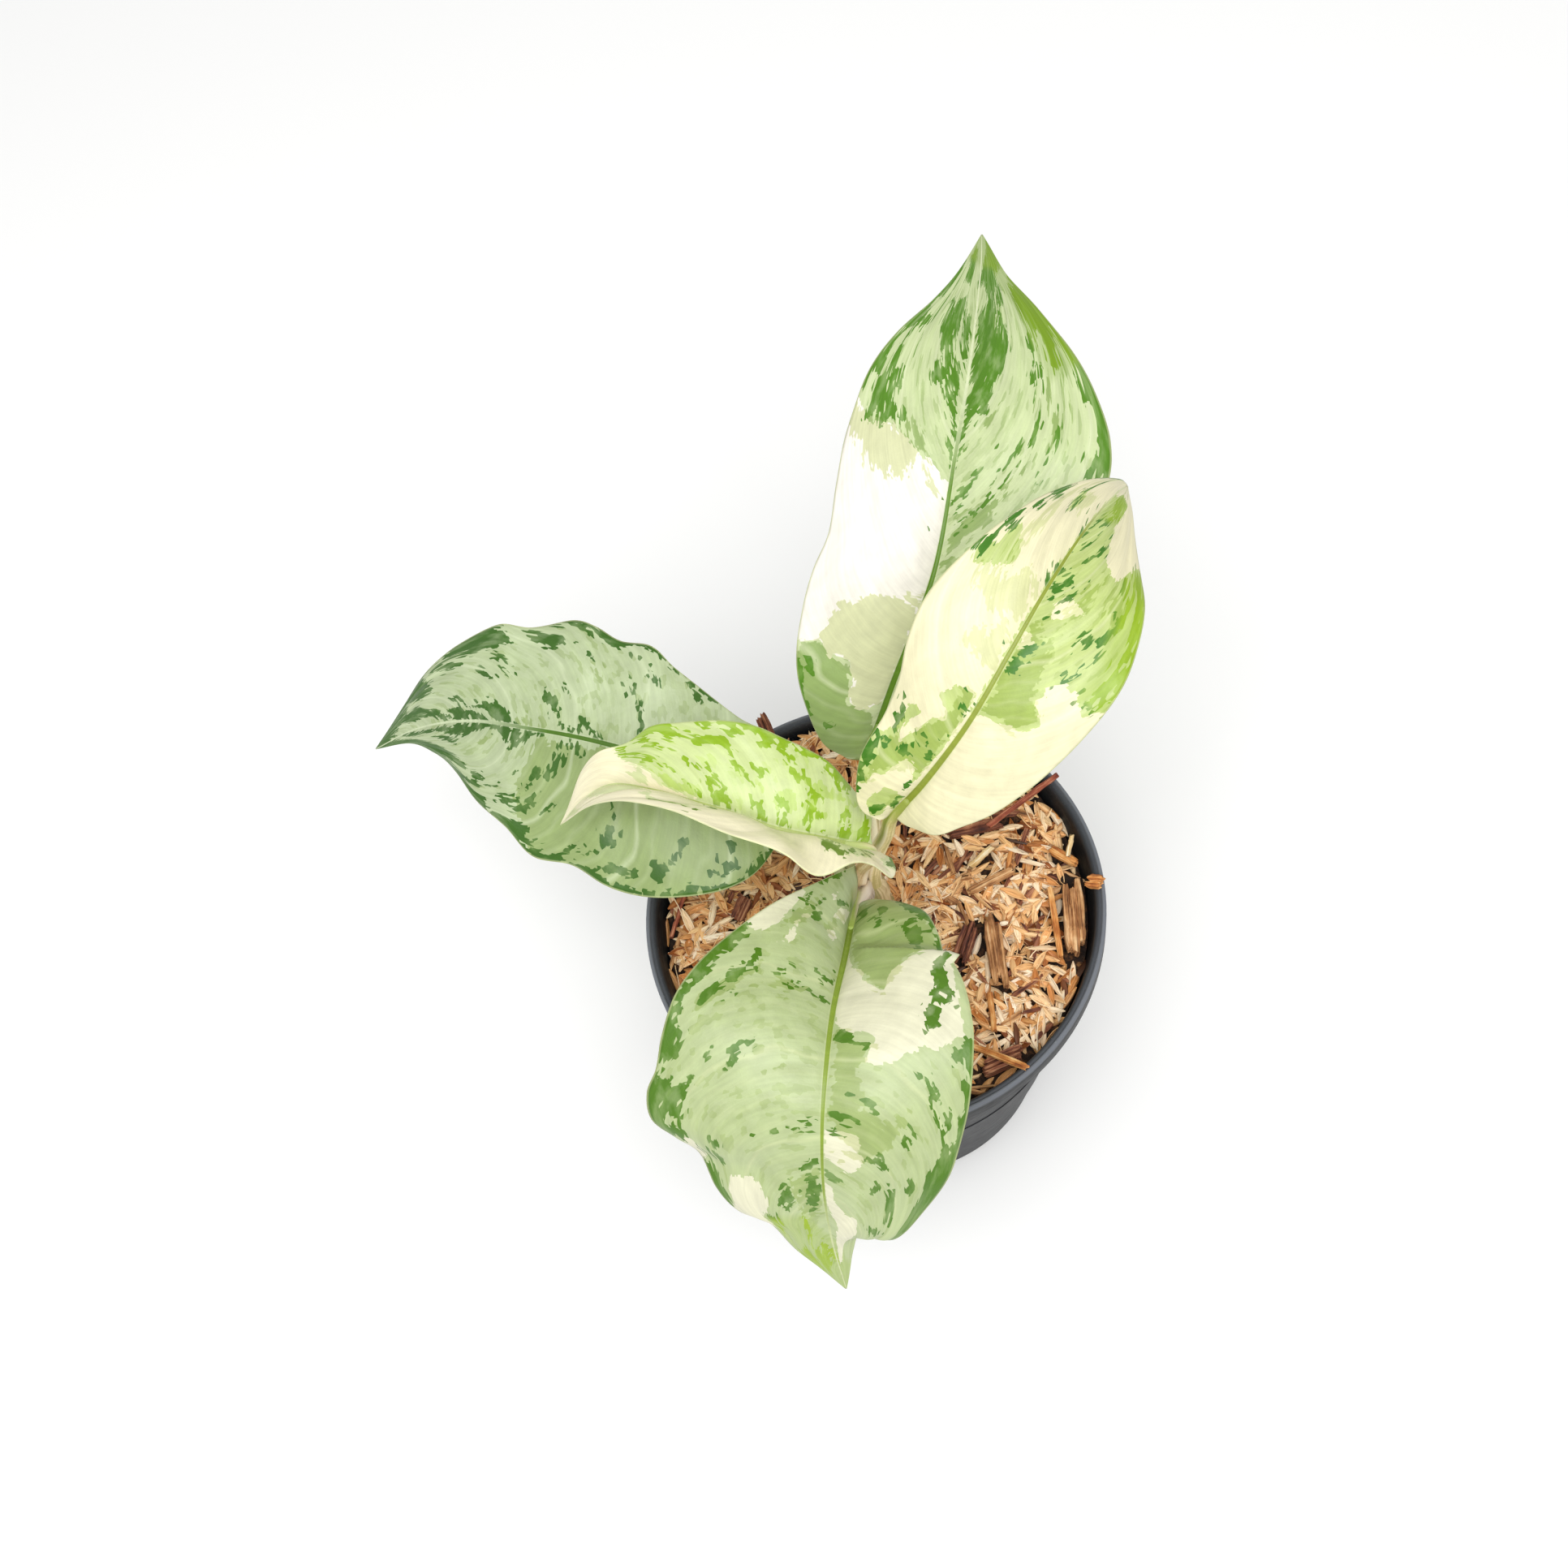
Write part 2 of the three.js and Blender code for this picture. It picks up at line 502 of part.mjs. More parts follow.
// A blade with two faces and a rib below its middle. Both faces share one split into triangles.
function bladeSolid({ midrib, left, right }) {
  const lines = {
    midrib: smoothCurve(midrib).getSpacedPoints(BLADE_ROWS),
    left: smoothCurve(left).getSpacedPoints(BLADE_ROWS),
    right: smoothCurve(right).getSpacedPoints(BLADE_ROWS),
  };
  const columns = BLADE_COLUMNS.length;
  const grid = [];
  for (let row = 0; row < BLADE_ROWS; row++) {
    grid.push(BLADE_COLUMNS.map((share) => bladePoint(lines, row, share)));
  }
  const places = [];
  const normal = new THREE.Vector3();
  grid.forEach((points, row) => {
    const before = grid[Math.max(row - 1, 0)];
    const after = grid[Math.min(row + 1, BLADE_ROWS - 1)];
    points.forEach((point, column) => {
      const across = points[Math.min(column + 1, columns - 1)].clone();
      across.sub(points[Math.max(column - 1, 0)]);
      normal.crossVectors(across, after[column].clone().sub(before[column])).normalize();
      const isRib = BLADE_COLUMNS[column] === 0;
      const rib = isRib ? RIB_DEPTH * (1 - row / BLADE_ROWS) : 0;
      places.push(point.clone().addScaledVector(normal, BLADE_THICKNESS / 2));
      places.push(point.clone().addScaledVector(normal, -BLADE_THICKNESS / 2 - rib));
    });
  });
  places.push(lines.midrib[BLADE_ROWS]);

  const tip = places.length - 1;
  const last = columns - 1;
  const top = (row, column) => 2 * (row * columns + column);
  const under = (row, column) => top(row, column) + 1;
  const faces = [];
  for (let row = 0; row < BLADE_ROWS - 1; row++) {
    for (let column = 0; column < last; column++) {
      const [a, b] = [[row, column], [row, column + 1]];
      const [c, d] = [[row + 1, column + 1], [row + 1, column]];
      faces.push(top(...a), top(...b), top(...c), top(...a), top(...c), top(...d));
      faces.push(under(...a), under(...c), under(...b), under(...a), under(...d), under(...c));
    }
    faces.push(top(row, 0), top(row + 1, 0), under(row + 1, 0));
    faces.push(top(row, 0), under(row + 1, 0), under(row, 0));
    faces.push(top(row + 1, last), top(row, last), under(row, last));
    faces.push(top(row + 1, last), under(row, last), under(row + 1, last));
  }
  const end = BLADE_ROWS - 1;
  for (let column = 0; column < last; column++) {
    faces.push(top(0, column + 1), top(0, column), under(0, column));
    faces.push(top(0, column + 1), under(0, column), under(0, column + 1));
    faces.push(top(end, column), top(end, column + 1), tip);
    faces.push(under(end, column + 1), under(end, column), tip);
  }
  faces.push(top(end, 0), tip, under(end, 0));
  faces.push(under(end, last), tip, top(end, last));

  const blade = new THREE.BufferGeometry().setFromPoints(places);
  blade.setIndex(faces);
  return solidFrom(blade);
}

const leafStalk = ({ stalk, widths }, margin) =>
  stalkSolid(stalk, widths, STALK_STEPS, STALK_SIDES, margin);

const plant = new THREE.Group();

function addPiece(name, solid, colour, roughness) {
  const material = new THREE.MeshStandardMaterial({ color: colour, roughness, metalness: 0 });
  const piece = new THREE.Mesh(geometryFrom(solid), material);
  piece.name = name;
  plant.add(piece);
}

const caneSpace = caneSolid(CLEARANCE);
const woodSpaces = Object.values(WOOD).map((piece) => woodSolid(piece, CLEARANCE));

addPiece("pot", potSolid(), POT_COLOUR, 0.45);
addPiece("husk_bed", bedSolid([caneSpace, ...woodSpaces]), BED_COLOUR, 0.9);
addPiece("cane", caneSolid(0), CANE_COLOUR, 0.6);
for (const [name, piece] of Object.entries(WOOD)) {
  addPiece(name, woodSolid(piece, 0), piece.colour, 0.85);
}

// The sheath of an older leaf clasps the cane and the stalks of the leaves younger than it.
const youngestFirst = Object.entries(LEAVES).reverse();
const clasped = [caneSpace];
for (const [name, leaf] of youngestFirst) {
  let solid = bladeSolid(leaf).add(leafStalk(leaf, 0));
  for (const space of clasped) solid = solid.subtract(space);
  addPiece(name, largestBody(solid), leaf.colour, 0.4);
  clasped.push(leafStalk(leaf, CLEARANCE));
}

export default plant;
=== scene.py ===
"""A potted variegated Chinese evergreen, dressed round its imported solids.

Lengths below are in millimetres.
"""

import math

import bmesh
import bpy
import numpy as np
from bpy.props import FloatProperty, FloatVectorProperty, IntProperty, PointerProperty
from mathutils import Matrix, noise


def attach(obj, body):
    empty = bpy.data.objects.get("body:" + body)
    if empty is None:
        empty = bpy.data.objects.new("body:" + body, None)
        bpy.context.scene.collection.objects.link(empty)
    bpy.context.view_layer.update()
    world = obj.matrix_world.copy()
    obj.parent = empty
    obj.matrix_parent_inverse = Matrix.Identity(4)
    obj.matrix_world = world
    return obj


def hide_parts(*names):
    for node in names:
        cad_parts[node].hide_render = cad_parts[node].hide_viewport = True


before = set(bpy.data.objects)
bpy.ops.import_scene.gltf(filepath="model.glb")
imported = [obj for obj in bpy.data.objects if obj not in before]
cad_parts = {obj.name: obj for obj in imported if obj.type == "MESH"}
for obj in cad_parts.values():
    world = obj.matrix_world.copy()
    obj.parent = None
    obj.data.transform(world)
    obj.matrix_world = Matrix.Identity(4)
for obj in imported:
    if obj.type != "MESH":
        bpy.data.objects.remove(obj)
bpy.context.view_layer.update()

bl_info = {
    "name": "Potted Chinese evergreen",
    "version": (1, 0, 0),
    "blender": (4, 5, 0),
    "location": "3D View > Sidebar > Evergreen",
    "description": "Pot, husk bed, loose wood, cane and five variegated leaves round the packed solids",
    "category": "Object",
}

MM = 0.001

# Pot: a five inch nursery pot.
POT_HEIGHT = 112
RIM_RADIUS = 65
RIM_WIDTH = 2.8
BASE_RADIUS = 46
BASE_EDGE = 2.2
POT_WALL = 0.95
POT_FLOOR = 1.6
POT_SIDES = 144
DRAIN_HOLES = 8
DRAIN_RADIUS = 4.5
DRAIN_CIRCLE = 33
GROOVE = (3, 0.7)  # width and depth
GROOVE_LENGTH = 18
WALL_STEP = (30.4, 66)  # the wall stands out a little between these heights

# Bed: its surface rises towards the far side of the pot.
BED_SURFACE = 101
BED_RISE = 8
BED_RISE_FROM = -8
BED_RISE_TO = 56
BED_WAVE = (0.8, 10)  # height, and length over one radian
HUSKS_TO = 60.7  # how far from the middle a loose piece may reach
CANE_ROOM = 6.4  # how far from the middle a loose piece has to lie, off the cane
STEEPEST = 0.7  # most that a loose piece tips, in radians
LUMP_AT = (55.8, -4.4)  # a heap of crumbs beside the right wall
LUMP_RADIUS = 5.2
LUMP_HEIGHT = 3.6

# The cane draws in over its shoulder, at the top and between the sheaths. Its profile, as
# (half width, height), has two old leaf scars.
CANE_SHOULDER = 6
CANE_PROFILE = [
    (3, 58), (4.8, 68), (5.6, 74), (6.1, 88), (6.3, 100), (6.1, 106), (5.9, 110.6), (6.35, 111.8),
    (6.3, 112.8), (5.6, 113.8), (5.45, 116), (5.2, 121), (5.55, 122.2), (5.45, 123.2), (4.95, 124.4),
    (4.7, 128), (4.4, 131.5), (3.2, 133.3),
]
ROOTS = 6
ROOT_LINE = [(0, 74), (10, 68), (21, 52), (30, 34)]
ROOT_TURN = 0.3

# Each leaf: guide points of its midrib, its left and right margins and its stalk, then the stalk's
# half widths at fractions of its length, where its sheath ends, and how far and with what powers its
# side veins sweep towards the tip.
LEAVES = {
    "leaf_a_low_left": {
        "midrib": [
            (-19, 23, 148), (-33.5, 28.5, 159), (-49, 37.5, 163), (-63, 47, 162), (-78, 57, 158),
            (-96.5, 70.5, 148), (-114, 80, 135), (-130.5, 86, 119),
        ],
        "left": [
            (-19.5, 14, 148), (-23.5, 7.5, 149), (-30.5, 2, 149), (-40, 0, 149), (-51, 1.5, 149),
            (-61.5, 5.5, 148), (-69.5, 10, 150), (-76.5, 18.5, 149), (-87, 25, 147), (-92.5, 35, 149),
            (-99, 46, 146), (-104, 58.5, 143), (-109.5, 69, 138), (-117.5, 78, 131), (-130.5, 86, 119),
        ],
        "right": [
            (-15, 28, 153), (-17, 36.5, 160), (-23, 41.5, 164), (-30, 50, 167), (-36.5, 57.5, 171),
            (-41, 64.5, 173), (-49, 70.5, 170), (-54.5, 75.5, 172), (-60.5, 80, 171), (-72.5, 84, 166),
            (-81.5, 88.5, 165), (-93, 91, 157), (-103.5, 91.5, 149), (-113.5, 90, 137), (-130.5, 86, 119),
        ],
        "stalk": [
            (-0.5, 0.5, 116), (-3.6, 4, 123), (-7, 8, 132), (-12.5, 14.5, 141.5), (-19, 22.5, 147.3),
            (-26, 25.6, 152.6),
        ],
        "widths": [(0, 3.6), (0.3, 3), (0.5, 2), (0.9, 1.8), (1, 1.1)],
        "sheath": 0.45,
        "sweep": (0.5, 1.6, 1.9),
    },
    "leaf_e_front": {
        "midrib": [
            (-6, -14.5, 150), (-11.5, -32, 163), (-18, -49, 172), (-23.5, -65, 175), (-28, -77.5, 169),
            (-31.5, -87.5, 153), (-33, -95.5, 133), (-33, -102.5, 112),
        ],
        "left": [
            (-0.5, -15, 153), (6, -19.5, 158), (11, -26, 163), (12.5, -35, 168), (12.5, -42.5, 172),
            (14.5, -52, 176), (14, -63, 177), (11.5, -72, 175), (7, -82.5, 168), (0.5, -91.5, 157),
            (-9, -96.5, 146), (-18, -99.5, 138), (-25, -95, 134), (-28.5, -97.5, 128),
            (-33, -102.5, 112),
        ],
        "right": [
            (-3, -7.5, 160), (-12, -12, 167), (-26.5, -18.5, 175), (-38, -24.5, 178), (-47, -30.5, 180),
            (-54.5, -37.5, 180), (-60.5, -46, 177), (-64, -52.5, 173), (-67.5, -56.5, 169),
            (-68, -62, 165), (-63.5, -67, 161), (-59, -71, 157), (-57.5, -78.5, 151),
            (-53.5, -84.5, 145), (-46.5, -88.5, 139), (-42, -94, 127), (-33, -102.5, 112),
        ],
        "stalk": [
            (-0.5, -0.5, 120), (-2.3, -2.6, 130), (-2.9, -4.9, 138), (-4.6, -10, 144.5),
            (-6, -14.5, 149.3), (-8.5, -23, 155.6),
        ],
        "widths": [(0, 3.4), (0.35, 3.2), (0.55, 3.6), (0.75, 2.2), (1, 1.1)],
        "sheath": 0.62,
        "sweep": (0.5, 1.6, 1.9),
    },
    "leaf_c_back": {
        "midrib": [
            (7.5, 26.5, 150), (19, 36.5, 170), (36, 54.5, 190), (49, 79.5, 203), (59.5, 103.5, 206),
            (70.5, 133.5, 203), (75.5, 150.5, 199),
        ],
        "left": [
            (2.5, 27.5, 151), (-3, 32.5, 155), (-5, 42, 167), (-3.5, 50.5, 176), (1, 58.5, 184),
            (6, 65, 190), (12.5, 72, 194), (17.5, 82.5, 200), (24, 95, 204), (32.5, 107.5, 208),
            (43.5, 117.5, 210), (56, 126.5, 208), (66.5, 137.5, 204), (75.5, 150.5, 199),
        ],
        "right": [
            (16, 28, 158), (35, 29, 176), (54.5, 36, 188), (73, 47.5, 197), (83.5, 58.5, 203),
            (87.5, 68.5, 207), (87.5, 81, 210), (85.5, 95.5, 211), (81, 113, 209), (77, 130, 205),
            (75.5, 150.5, 199),
        ],
        "stalk": [
            (0.3, 1.5, 122), (1.6, 5, 128), (3.9, 9.7, 135), (5.4, 13.3, 140), (6.4, 18.9, 145),
            (7.5, 26, 149.5), (13.2, 31.5, 159.2),
        ],
        "widths": [(0, 3.2), (0.3, 2.8), (0.5, 2), (0.9, 1.8), (1, 1.1)],
        "sheath": 0.45,
        "sweep": (0.72, 1.3, 1.2),
    },
    "leaf_b_high_left": {
        "midrib": [
            (2, -12, 177), (-9, -11, 188), (-20.5, -7, 193), (-30.5, -1, 196), (-39.5, 5, 196),
            (-49, 12.5, 193), (-58.5, 20, 186), (-67.5, 23, 176), (-76, 24, 163),
        ],
        "left": [
            (6, -16.5, 180), (6, -21, 183), (4, -25, 187), (0, -24.5, 196), (-4.5, -25, 202),
            (-13, -28, 207), (-19, -23.5, 212), (-25, -19, 213), (-34.5, -11.5, 213),
            (-42.5, -4.5, 211), (-50.5, 3, 205), (-59, 10.5, 196), (-67, 16.5, 184), (-76, 24, 163),
        ],
        "right": [
            (2.5, -7.5, 179), (3.5, -4.5, 181), (1.5, 1, 184), (-3, 7, 191), (-8, 10.5, 196),
            (-12, 13.5, 198), (-19, 18, 201), (-27.5, 21, 203), (-37.5, 24, 202), (-44.5, 26, 200),
            (-52, 26.5, 194), (-59.5, 28.5, 189), (-65.5, 29, 181), (-71, 26, 172), (-76, 24, 163),
        ],
        "stalk": [
            (-2, -0.5, 128), (-2.6, -3.4, 140), (-1.9, -5.6, 150), (-0.8, -8, 160), (1.2, -10.8, 170),
            (0.6, -12, 177.6), (-5, -11.6, 183.6),
        ],
        "widths": [(0, 2.4), (0.3, 2.3), (0.6, 1.9), (0.9, 1.7), (1, 1)],
        "sheath": 0.5,
        "sweep": (0.5, 1.3, 1.3),
    },
    "leaf_d_high_right": {
        "midrib": [
            (8.5, -9, 188), (17.5, -9, 202), (30.5, -4, 217), (43.5, 6, 227), (56, 18, 231),
            (69.5, 32.5, 228), (81, 45.5, 219), (87, 53, 210),
        ],
        "left": [
            (5, -10, 189), (1.5, -7.5, 191), (1, -3.5, 194), (4.5, 2, 203), (12, 7, 211),
            (17, 10.5, 219), (21.5, 17, 227), (29, 24, 234), (40.5, 30, 238), (53.5, 37, 237),
            (67, 45, 230), (78.5, 50.5, 221), (85, 53.5, 213), (87, 53, 210),
        ],
        "right": [
            (11, -13.5, 189), (17, -19, 192), (23.5, -20.5, 196), (31.5, -21.5, 201), (42, -20, 208),
            (53, -17, 216), (64.5, -10.5, 223), (71.5, -2.5, 226), (77, 8, 228), (80.5, 23, 224),
            (84, 39, 217), (87, 53, 210),
        ],
        "stalk": [
            (1, 0, 128), (1.2, -0.6, 137), (2.1, -1.8, 147), (4, -3.4, 158), (6.7, -5.9, 172),
            (8.3, -8.4, 186), (13, -9, 194.4),
        ],
        "widths": [(0, 2.7), (0.3, 2.6), (0.6, 2), (0.9, 1.8), (1, 1.1)],
        "sheath": 0.5,
        "sweep": (0.62, 1.3, 1.2),
    },
}

# Where the colours lie on each blade, seen along the leaf (0 at its base, 1 at its tip) and across it
# (-1 at the left margin, 0 on the midrib, 1 at the right margin). A spot is (from, to, from, to).
# Areas are outlines of (along, across). "dark" spots are deep green, "half" is the middle tone,
# "cream" has no green in it, "lime" is the fresher green of tips and margins, and "green" areas lie
# on a blade that is cream by itself.
PATTERNS = {
    "leaf_a_low_left": {
        "dark": [
            [(.04, -1.1), (.05, -.95), (.08, -.84), (.1, -.88), (.11, -.96), (.16, -.97), (.2, -.92),
             (.25, -.97), (.3, -.94), (.33, -.92), (.4, -.97), (.45, -.94), (.5, -.9), (.5, -1.1)],
            [(.12, -.86), (.14, -.88), (.168, -.84), (.15, -.77), (.13, -.74), (.12, -.8)], [(.233, -.82),
             (.25, -.89), (.262, -.86), (.255, -.76), (.24, -.76)], (.12, .137, -.7, -.62),
            (.208, .225, -.74, -.66), (.2, .212, -.67, -.59), [(.32, -.56), (.325, -.68), (.342, -.73),
             (.34, -.62), (.33, -.55)], [(.275, -.83), (.3, -.88), (.34, -.93), (.352, -.89), (.33, -.83),
             (.29, -.82)], (.385, .41, -.87, -.78), (.357, .38, -.85, -.8), (.462, .478, -.87, -.83),
            (.322, .336, -.45, -.39), (.438, .456, -.63, -.52), (.472, .487, -.54, -.48),
            (.472, .492, -.4, -.3), [(.418, -.14), (.43, -.28), (.445, -.38), (.46, -.36), (.45, -.24),
             (.435, -.13)], (.4, .443, -.12, -.04), (.518, .532, -.44, -.37), (.59, .607, -.72, -.67),
            (.492, .507, -.62, -.55), [(.49, -.62), (.52, -.7), (.55, -.8), (.588, -.83), (.58, -.76),
             (.55, -.67), (.53, -.62), (.515, -.56), (.51, -.64)], [(.5, -.76), (.53, -.85), (.6, -.97),
             (.6, -1.1), (.5, -1.1), (.5, -.85)], [(.618, -.66), (.64, -.8), (.662, -.86), (.65, -.75),
             (.658, -.68), (.64, -.63)], [(.6, -1.1), (.62, -.86), (.65, -.91), (.67, -.8), (.69, -.95),
             (.72, -1.1)], [(.67, -.72), (.71, -.78), (.74, -.82), (.76, -.88), (.78, -1.1), (.86, -1.1),
             (.86, -.7), (.8, -.62), (.74, -.65), (.7, -.63)], [(.48, -.02), (.52, -.1), (.54, -.2),
             (.56, -.23), (.58, -.13), (.6, -.06), (.64, -.1), (.68, -.25), (.72, -.28), (.78, -.22),
             (.77, -.1), (.72, -.05), (.65, 0)], [(.7, -.3), (.71, -.42), (.75, -.46), (.79, -.42),
             (.76, -.35), (.72, -.29)], [(.78, -.25), (.82, -.3), (.85, -.4), (.88, -.35), (.86, -.2),
             (.82, -.14), (.8, -.2)], [(.36, .01), (.38, .02), (.402, .17), (.39, .13), (.37, .08)],
            (.4, .447, .005, .09), (.458, .474, .08, .18), [(.45, .2), (.465, .19), (.483, .3), (.48, .37),
             (.46, .28)], (.43, .448, .35, .42), [(.54, 0), (.6, .02), (.62, .1), (.67, .17), (.65, .21),
             (.6, .22), (.57, .15), (.555, .06)], [(.61, .01), (.68, 0), (.75, .03), (.77, .1), (.74, .15),
             (.7, .18), (.65, .1)], (.678, .718, .23, .33), [(.76, .12), (.79, .17), (.83, .2), (.875, .3),
             (.9, .5), (.86, .53), (.82, .5), (.81, .38), (.78, .28), (.75, .2)], (.548, .573, .5, .56),
            (.568, .602, .61, .66), (.606, .63, .46, .53), (.308, .318, .49, .58), (.278, .288, .24, .34),
            (.27, .287, .7, .78), (.4, .43, .72, .79), (.29, .302, .75, .8), [(.45, .77), (.48, .75),
             (.5, .82), (.53, .9), (.557, .98), (.52, .97), (.48, .89), (.46, .85)], [(.57, .83),
             (.59, .76), (.65, .76), (.7, .84), (.74, .93), (.72, 1.1), (.6, 1.1), (.58, .92)], [(.68, .7),
             (.71, .69), (.755, .82), (.775, .9), (.74, .89), (.7, .78)], [(.76, .52), (.8, .55),
             (.84, .7), (.88, .9), (.88, 1.1), (.8, 1.1), (.79, .85), (.77, .7)], [(.15, 1.1), (.16, .96),
             (.2, .95), (.23, .97), (.27, .96), (.3, .94), (.34, .96), (.4, .9), (.42, .94), (.48, .96),
             (.57, 1.1)], [(.188, .92), (.195, .83), (.206, .85), (.212, .93)], [(.885, -1.1), (.9, -.5),
             (.93, 0), (.9, .4), (.885, 1.1), (1.1, 1.1), (1.1, -1.1)], [(.65, -1.1), (.67, -.93),
             (.69, -.85), (.75, -.83), (.74, -.74), (.7, -.72), (.71, -.66), (.78, -.63), (.86, -.6),
             (.93, -.45), (.96, -.7), (.95, -1.1)], [(.82, -.24), (.83, -.35), (.86, -.37), (.88, -.3),
             (.9, -.1), (.9, 0), (.87, -.05), (.85, -.15), (.78, -.16)], [(.86, .25), (.89, .38),
             (.91, .5), (.93, .8), (.95, 1.1), (.87, 1.1), (.86, .7)],
        ],
        "half": [
            # The left base of the blade: painted shade over a somewhat lower tone of its own.
            [(.05, -1.1), (.5, -1.1), (.53, -.6), (.51, -.3), (.5, -.06), (.1, -.06)],
            (.62, .65, -.28, -.21), (.5, .56, .02, .1), (.37, .39, .58, .66), (.24, .26, -.98, -.9),
        ],
    },
    "leaf_e_front": {
        "dark": [
            [(.22, 1.1), (.222, .97), (.235, .87), (.26, .86), (.34, .9), (.37, .95), (.41, .92),
             (.42, .85), (.45, .88), (.47, .96), (.5, .97), (.5, 1.1)], [(.268, .7), (.28, .66), (.3, .62),
             (.31, .68), (.33, .7), (.335, .76), (.36, .78), (.39, .83), (.36, .84), (.33, .8), (.31, .8),
             (.3, .7)], (.433, .449, .47, .54), (.442, .457, .68, .74), (.345, .36, .66, .7),
            (.274, .288, .43, .5), (.286, .295, .28, .32), (.243, .264, .22, .28), [(.245, .04),
             (.26, .05), (.264, .12), (.262, .18), (.252, .15)], (.292, .302, .05, .1),
            (.218, .228, .05, .1), [(.09, .72), (.1, .68), (.12, .65), (.122, .68), (.105, .72)],
            [(.097, .92), (.12, .8), (.135, .74), (.132, .82), (.11, .9)], [(.12, .88), (.14, .83),
             (.153, .81), (.143, .87)], [(.127, .56), (.14, .5), (.147, .52), (.152, .57), (.14, .62)],
            [(.02, .9), (.03, .87), (.045, .93), (.06, .97), (.075, .88), (.082, .93), (.08, 1.1),
             (.02, 1.1)], [(.055, .3), (.07, .4), (.084, .5), (.075, .57), (.06, .45)],
            (.413, .427, .42, .46), (.418, .425, .49, .52), [(.483, .78), (.5, .76), (.54, .78),
             (.54, .86), (.555, .9), (.57, .84), (.585, .87), (.6, .97), (.6, 1.1), (.48, 1.1), (.49, .97),
             (.5, .88)], (.52, .535, .03, .1), (.537, .547, .2, .27), (.593, .615, .02, .07), [(.605, .04),
             (.625, .08), (.632, .15), (.61, .13)], [(.64, .04), (.7, .03), (.725, .08), (.72, .15),
             (.68, .17), (.65, .13)], [(.66, .3), (.7, .27), (.71, .34), (.735, .37), (.715, .43),
             (.7, .42), (.68, .34)], (.57, .587, .62, .67), [(.6, .72), (.62, .7), (.642, .77),
             (.625, .77)], [(.6, .83), (.625, .85), (.65, .93), (.62, .91)], [(.65, .9), (.68, .87),
             (.74, .96), (.75, 1.1), (.66, 1)], [(.735, .54), (.765, .55), (.8, .72), (.83, .9),
             (.79, .82), (.75, .68)], [(.74, .23), (.76, .22), (.81, .32), (.85, .42), (.84, .47),
             (.8, .37)], [(.835, .2), (.85, .02), (.87, -.1), (.93, -.06), (.88, .08), (.93, .35),
             (.97, .8), (.93, .6), (.86, .42), (.85, .3)], [(.85, .6), (.9, .52), (.94, .68), (.95, 1.1),
             (.9, 1.05), (.87, .8)], [(.03, -1.1), (.05, -.93), (.07, -.85), (.1, -.82), (.13, -.86),
             (.15, -.93), (.2, -.95), (.23, -.96), (.24, -1.1)], [(.14, -.73), (.142, -.84), (.165, -.85),
             (.19, -.8), (.22, -.83), (.226, -.76), (.2, -.72), (.175, -.65), (.15, -.69)], [(.06, -.6),
             (.075, -.66), (.095, -.6), (.1, -.52), (.08, -.49), (.065, -.55)], (.104, .118, -.47, -.37),
            (.118, .129, -.63, -.56), (.094, .103, -.37, -.32), (.05, .063, -.31, -.25), [(.246, -.97),
             (.27, -.9), (.3, -.89), (.335, -.9), (.34, -.83), (.37, -.78), (.38, -.71), (.355, -.68),
             (.34, -.73), (.3, -.8), (.27, -.82), (.255, -.88)], [(.362, -.08), (.38, -.2), (.396, -.27),
             (.39, -.16), (.375, -.06)], [(.395, -1.1), (.4, -.96), (.412, -.86), (.428, -.83),
             (.43, -.93), (.5, -.97), (.52, -.93), (.55, -.95), (.58, -.88), (.6, -.84), (.63, -.81),
             (.67, -.84), (.7, -.87), (.75, -.88), (.79, -.95), (.79, -1.1)], (.455, .467, -.79, -.73),
            (.47, .487, -.82, -.73), (.491, .501, -.36, -.31), (.517, .529, -.86, -.79), [(.5, -.86),
             (.51, -.9), (.54, -.88), (.53, -.83)], [(.535, -.58), (.545, -.65), (.56, -.65), (.563, -.58),
             (.55, -.54)], [(.57, -.4), (.58, -.46), (.607, -.48), (.6, -.4), (.588, -.35)], [(.63, -.42),
             (.65, -.48), (.668, -.47), (.665, -.4), (.65, -.4)], [(.62, -.67), (.64, -.73), (.66, -.73),
             (.65, -.67)], [(.65, -.6), (.7, -.68), (.745, -.75), (.73, -.66), (.68, -.6), (.655, -.53)],
            (.51, .522, -.23, -.12), (.527, .541, -.11, -.03), (.625, .648, -.11, 0), [(.745, -.48),
             (.752, -.65), (.77, -.75), (.768, -.6), (.757, -.5)],
        ],
        "half": [
            [(.02, -.03), (.02, -.97), (.21, -.98), (.238, -.8), (.248, -.58), (.3, -.4), (.28, -.3),
             (.25, -.22), (.2, -.12), (.1, -.04)], [(.28, .62), (.31, .6), (.36, .72), (.4, .84),
             (.37, .86), (.33, .78)], (.41, .435, .36, .44), (.3, .315, .3, .45), (.32, .335, .33, .4),
            (.44, .455, .28, .34), [(.36, -.06), (.4, -.34), (.41, -.28), (.43, -.24), (.5, -.28),
             (.53, -.45), (.5, -.6), (.56, -.5), (.6, -.3), (.52, -.04)], (.577, .6, -.16, -.05),
            [(.62, .02), (.74, .02), (.74, .24), (.65, .25)], [(.09, .78), (.16, .6), (.2, .66),
             (.16, .8)], (.105, .14, .28, .38),
        ],
        "cream": [
            [(.1, 1.1), (.115, .93), (.14, .85), (.17, .8), (.2, .77), (.22, .81), (.235, .86),
             (.222, .97), (.215, 1.1)], [(.06, .21), (.1, .19), (.115, .4), (.1, .43), (.08, .42)],
            (.138, .166, .2, .31), [(.178, .65), (.2, .57), (.227, .55), (.222, .6), (.19, .66)],
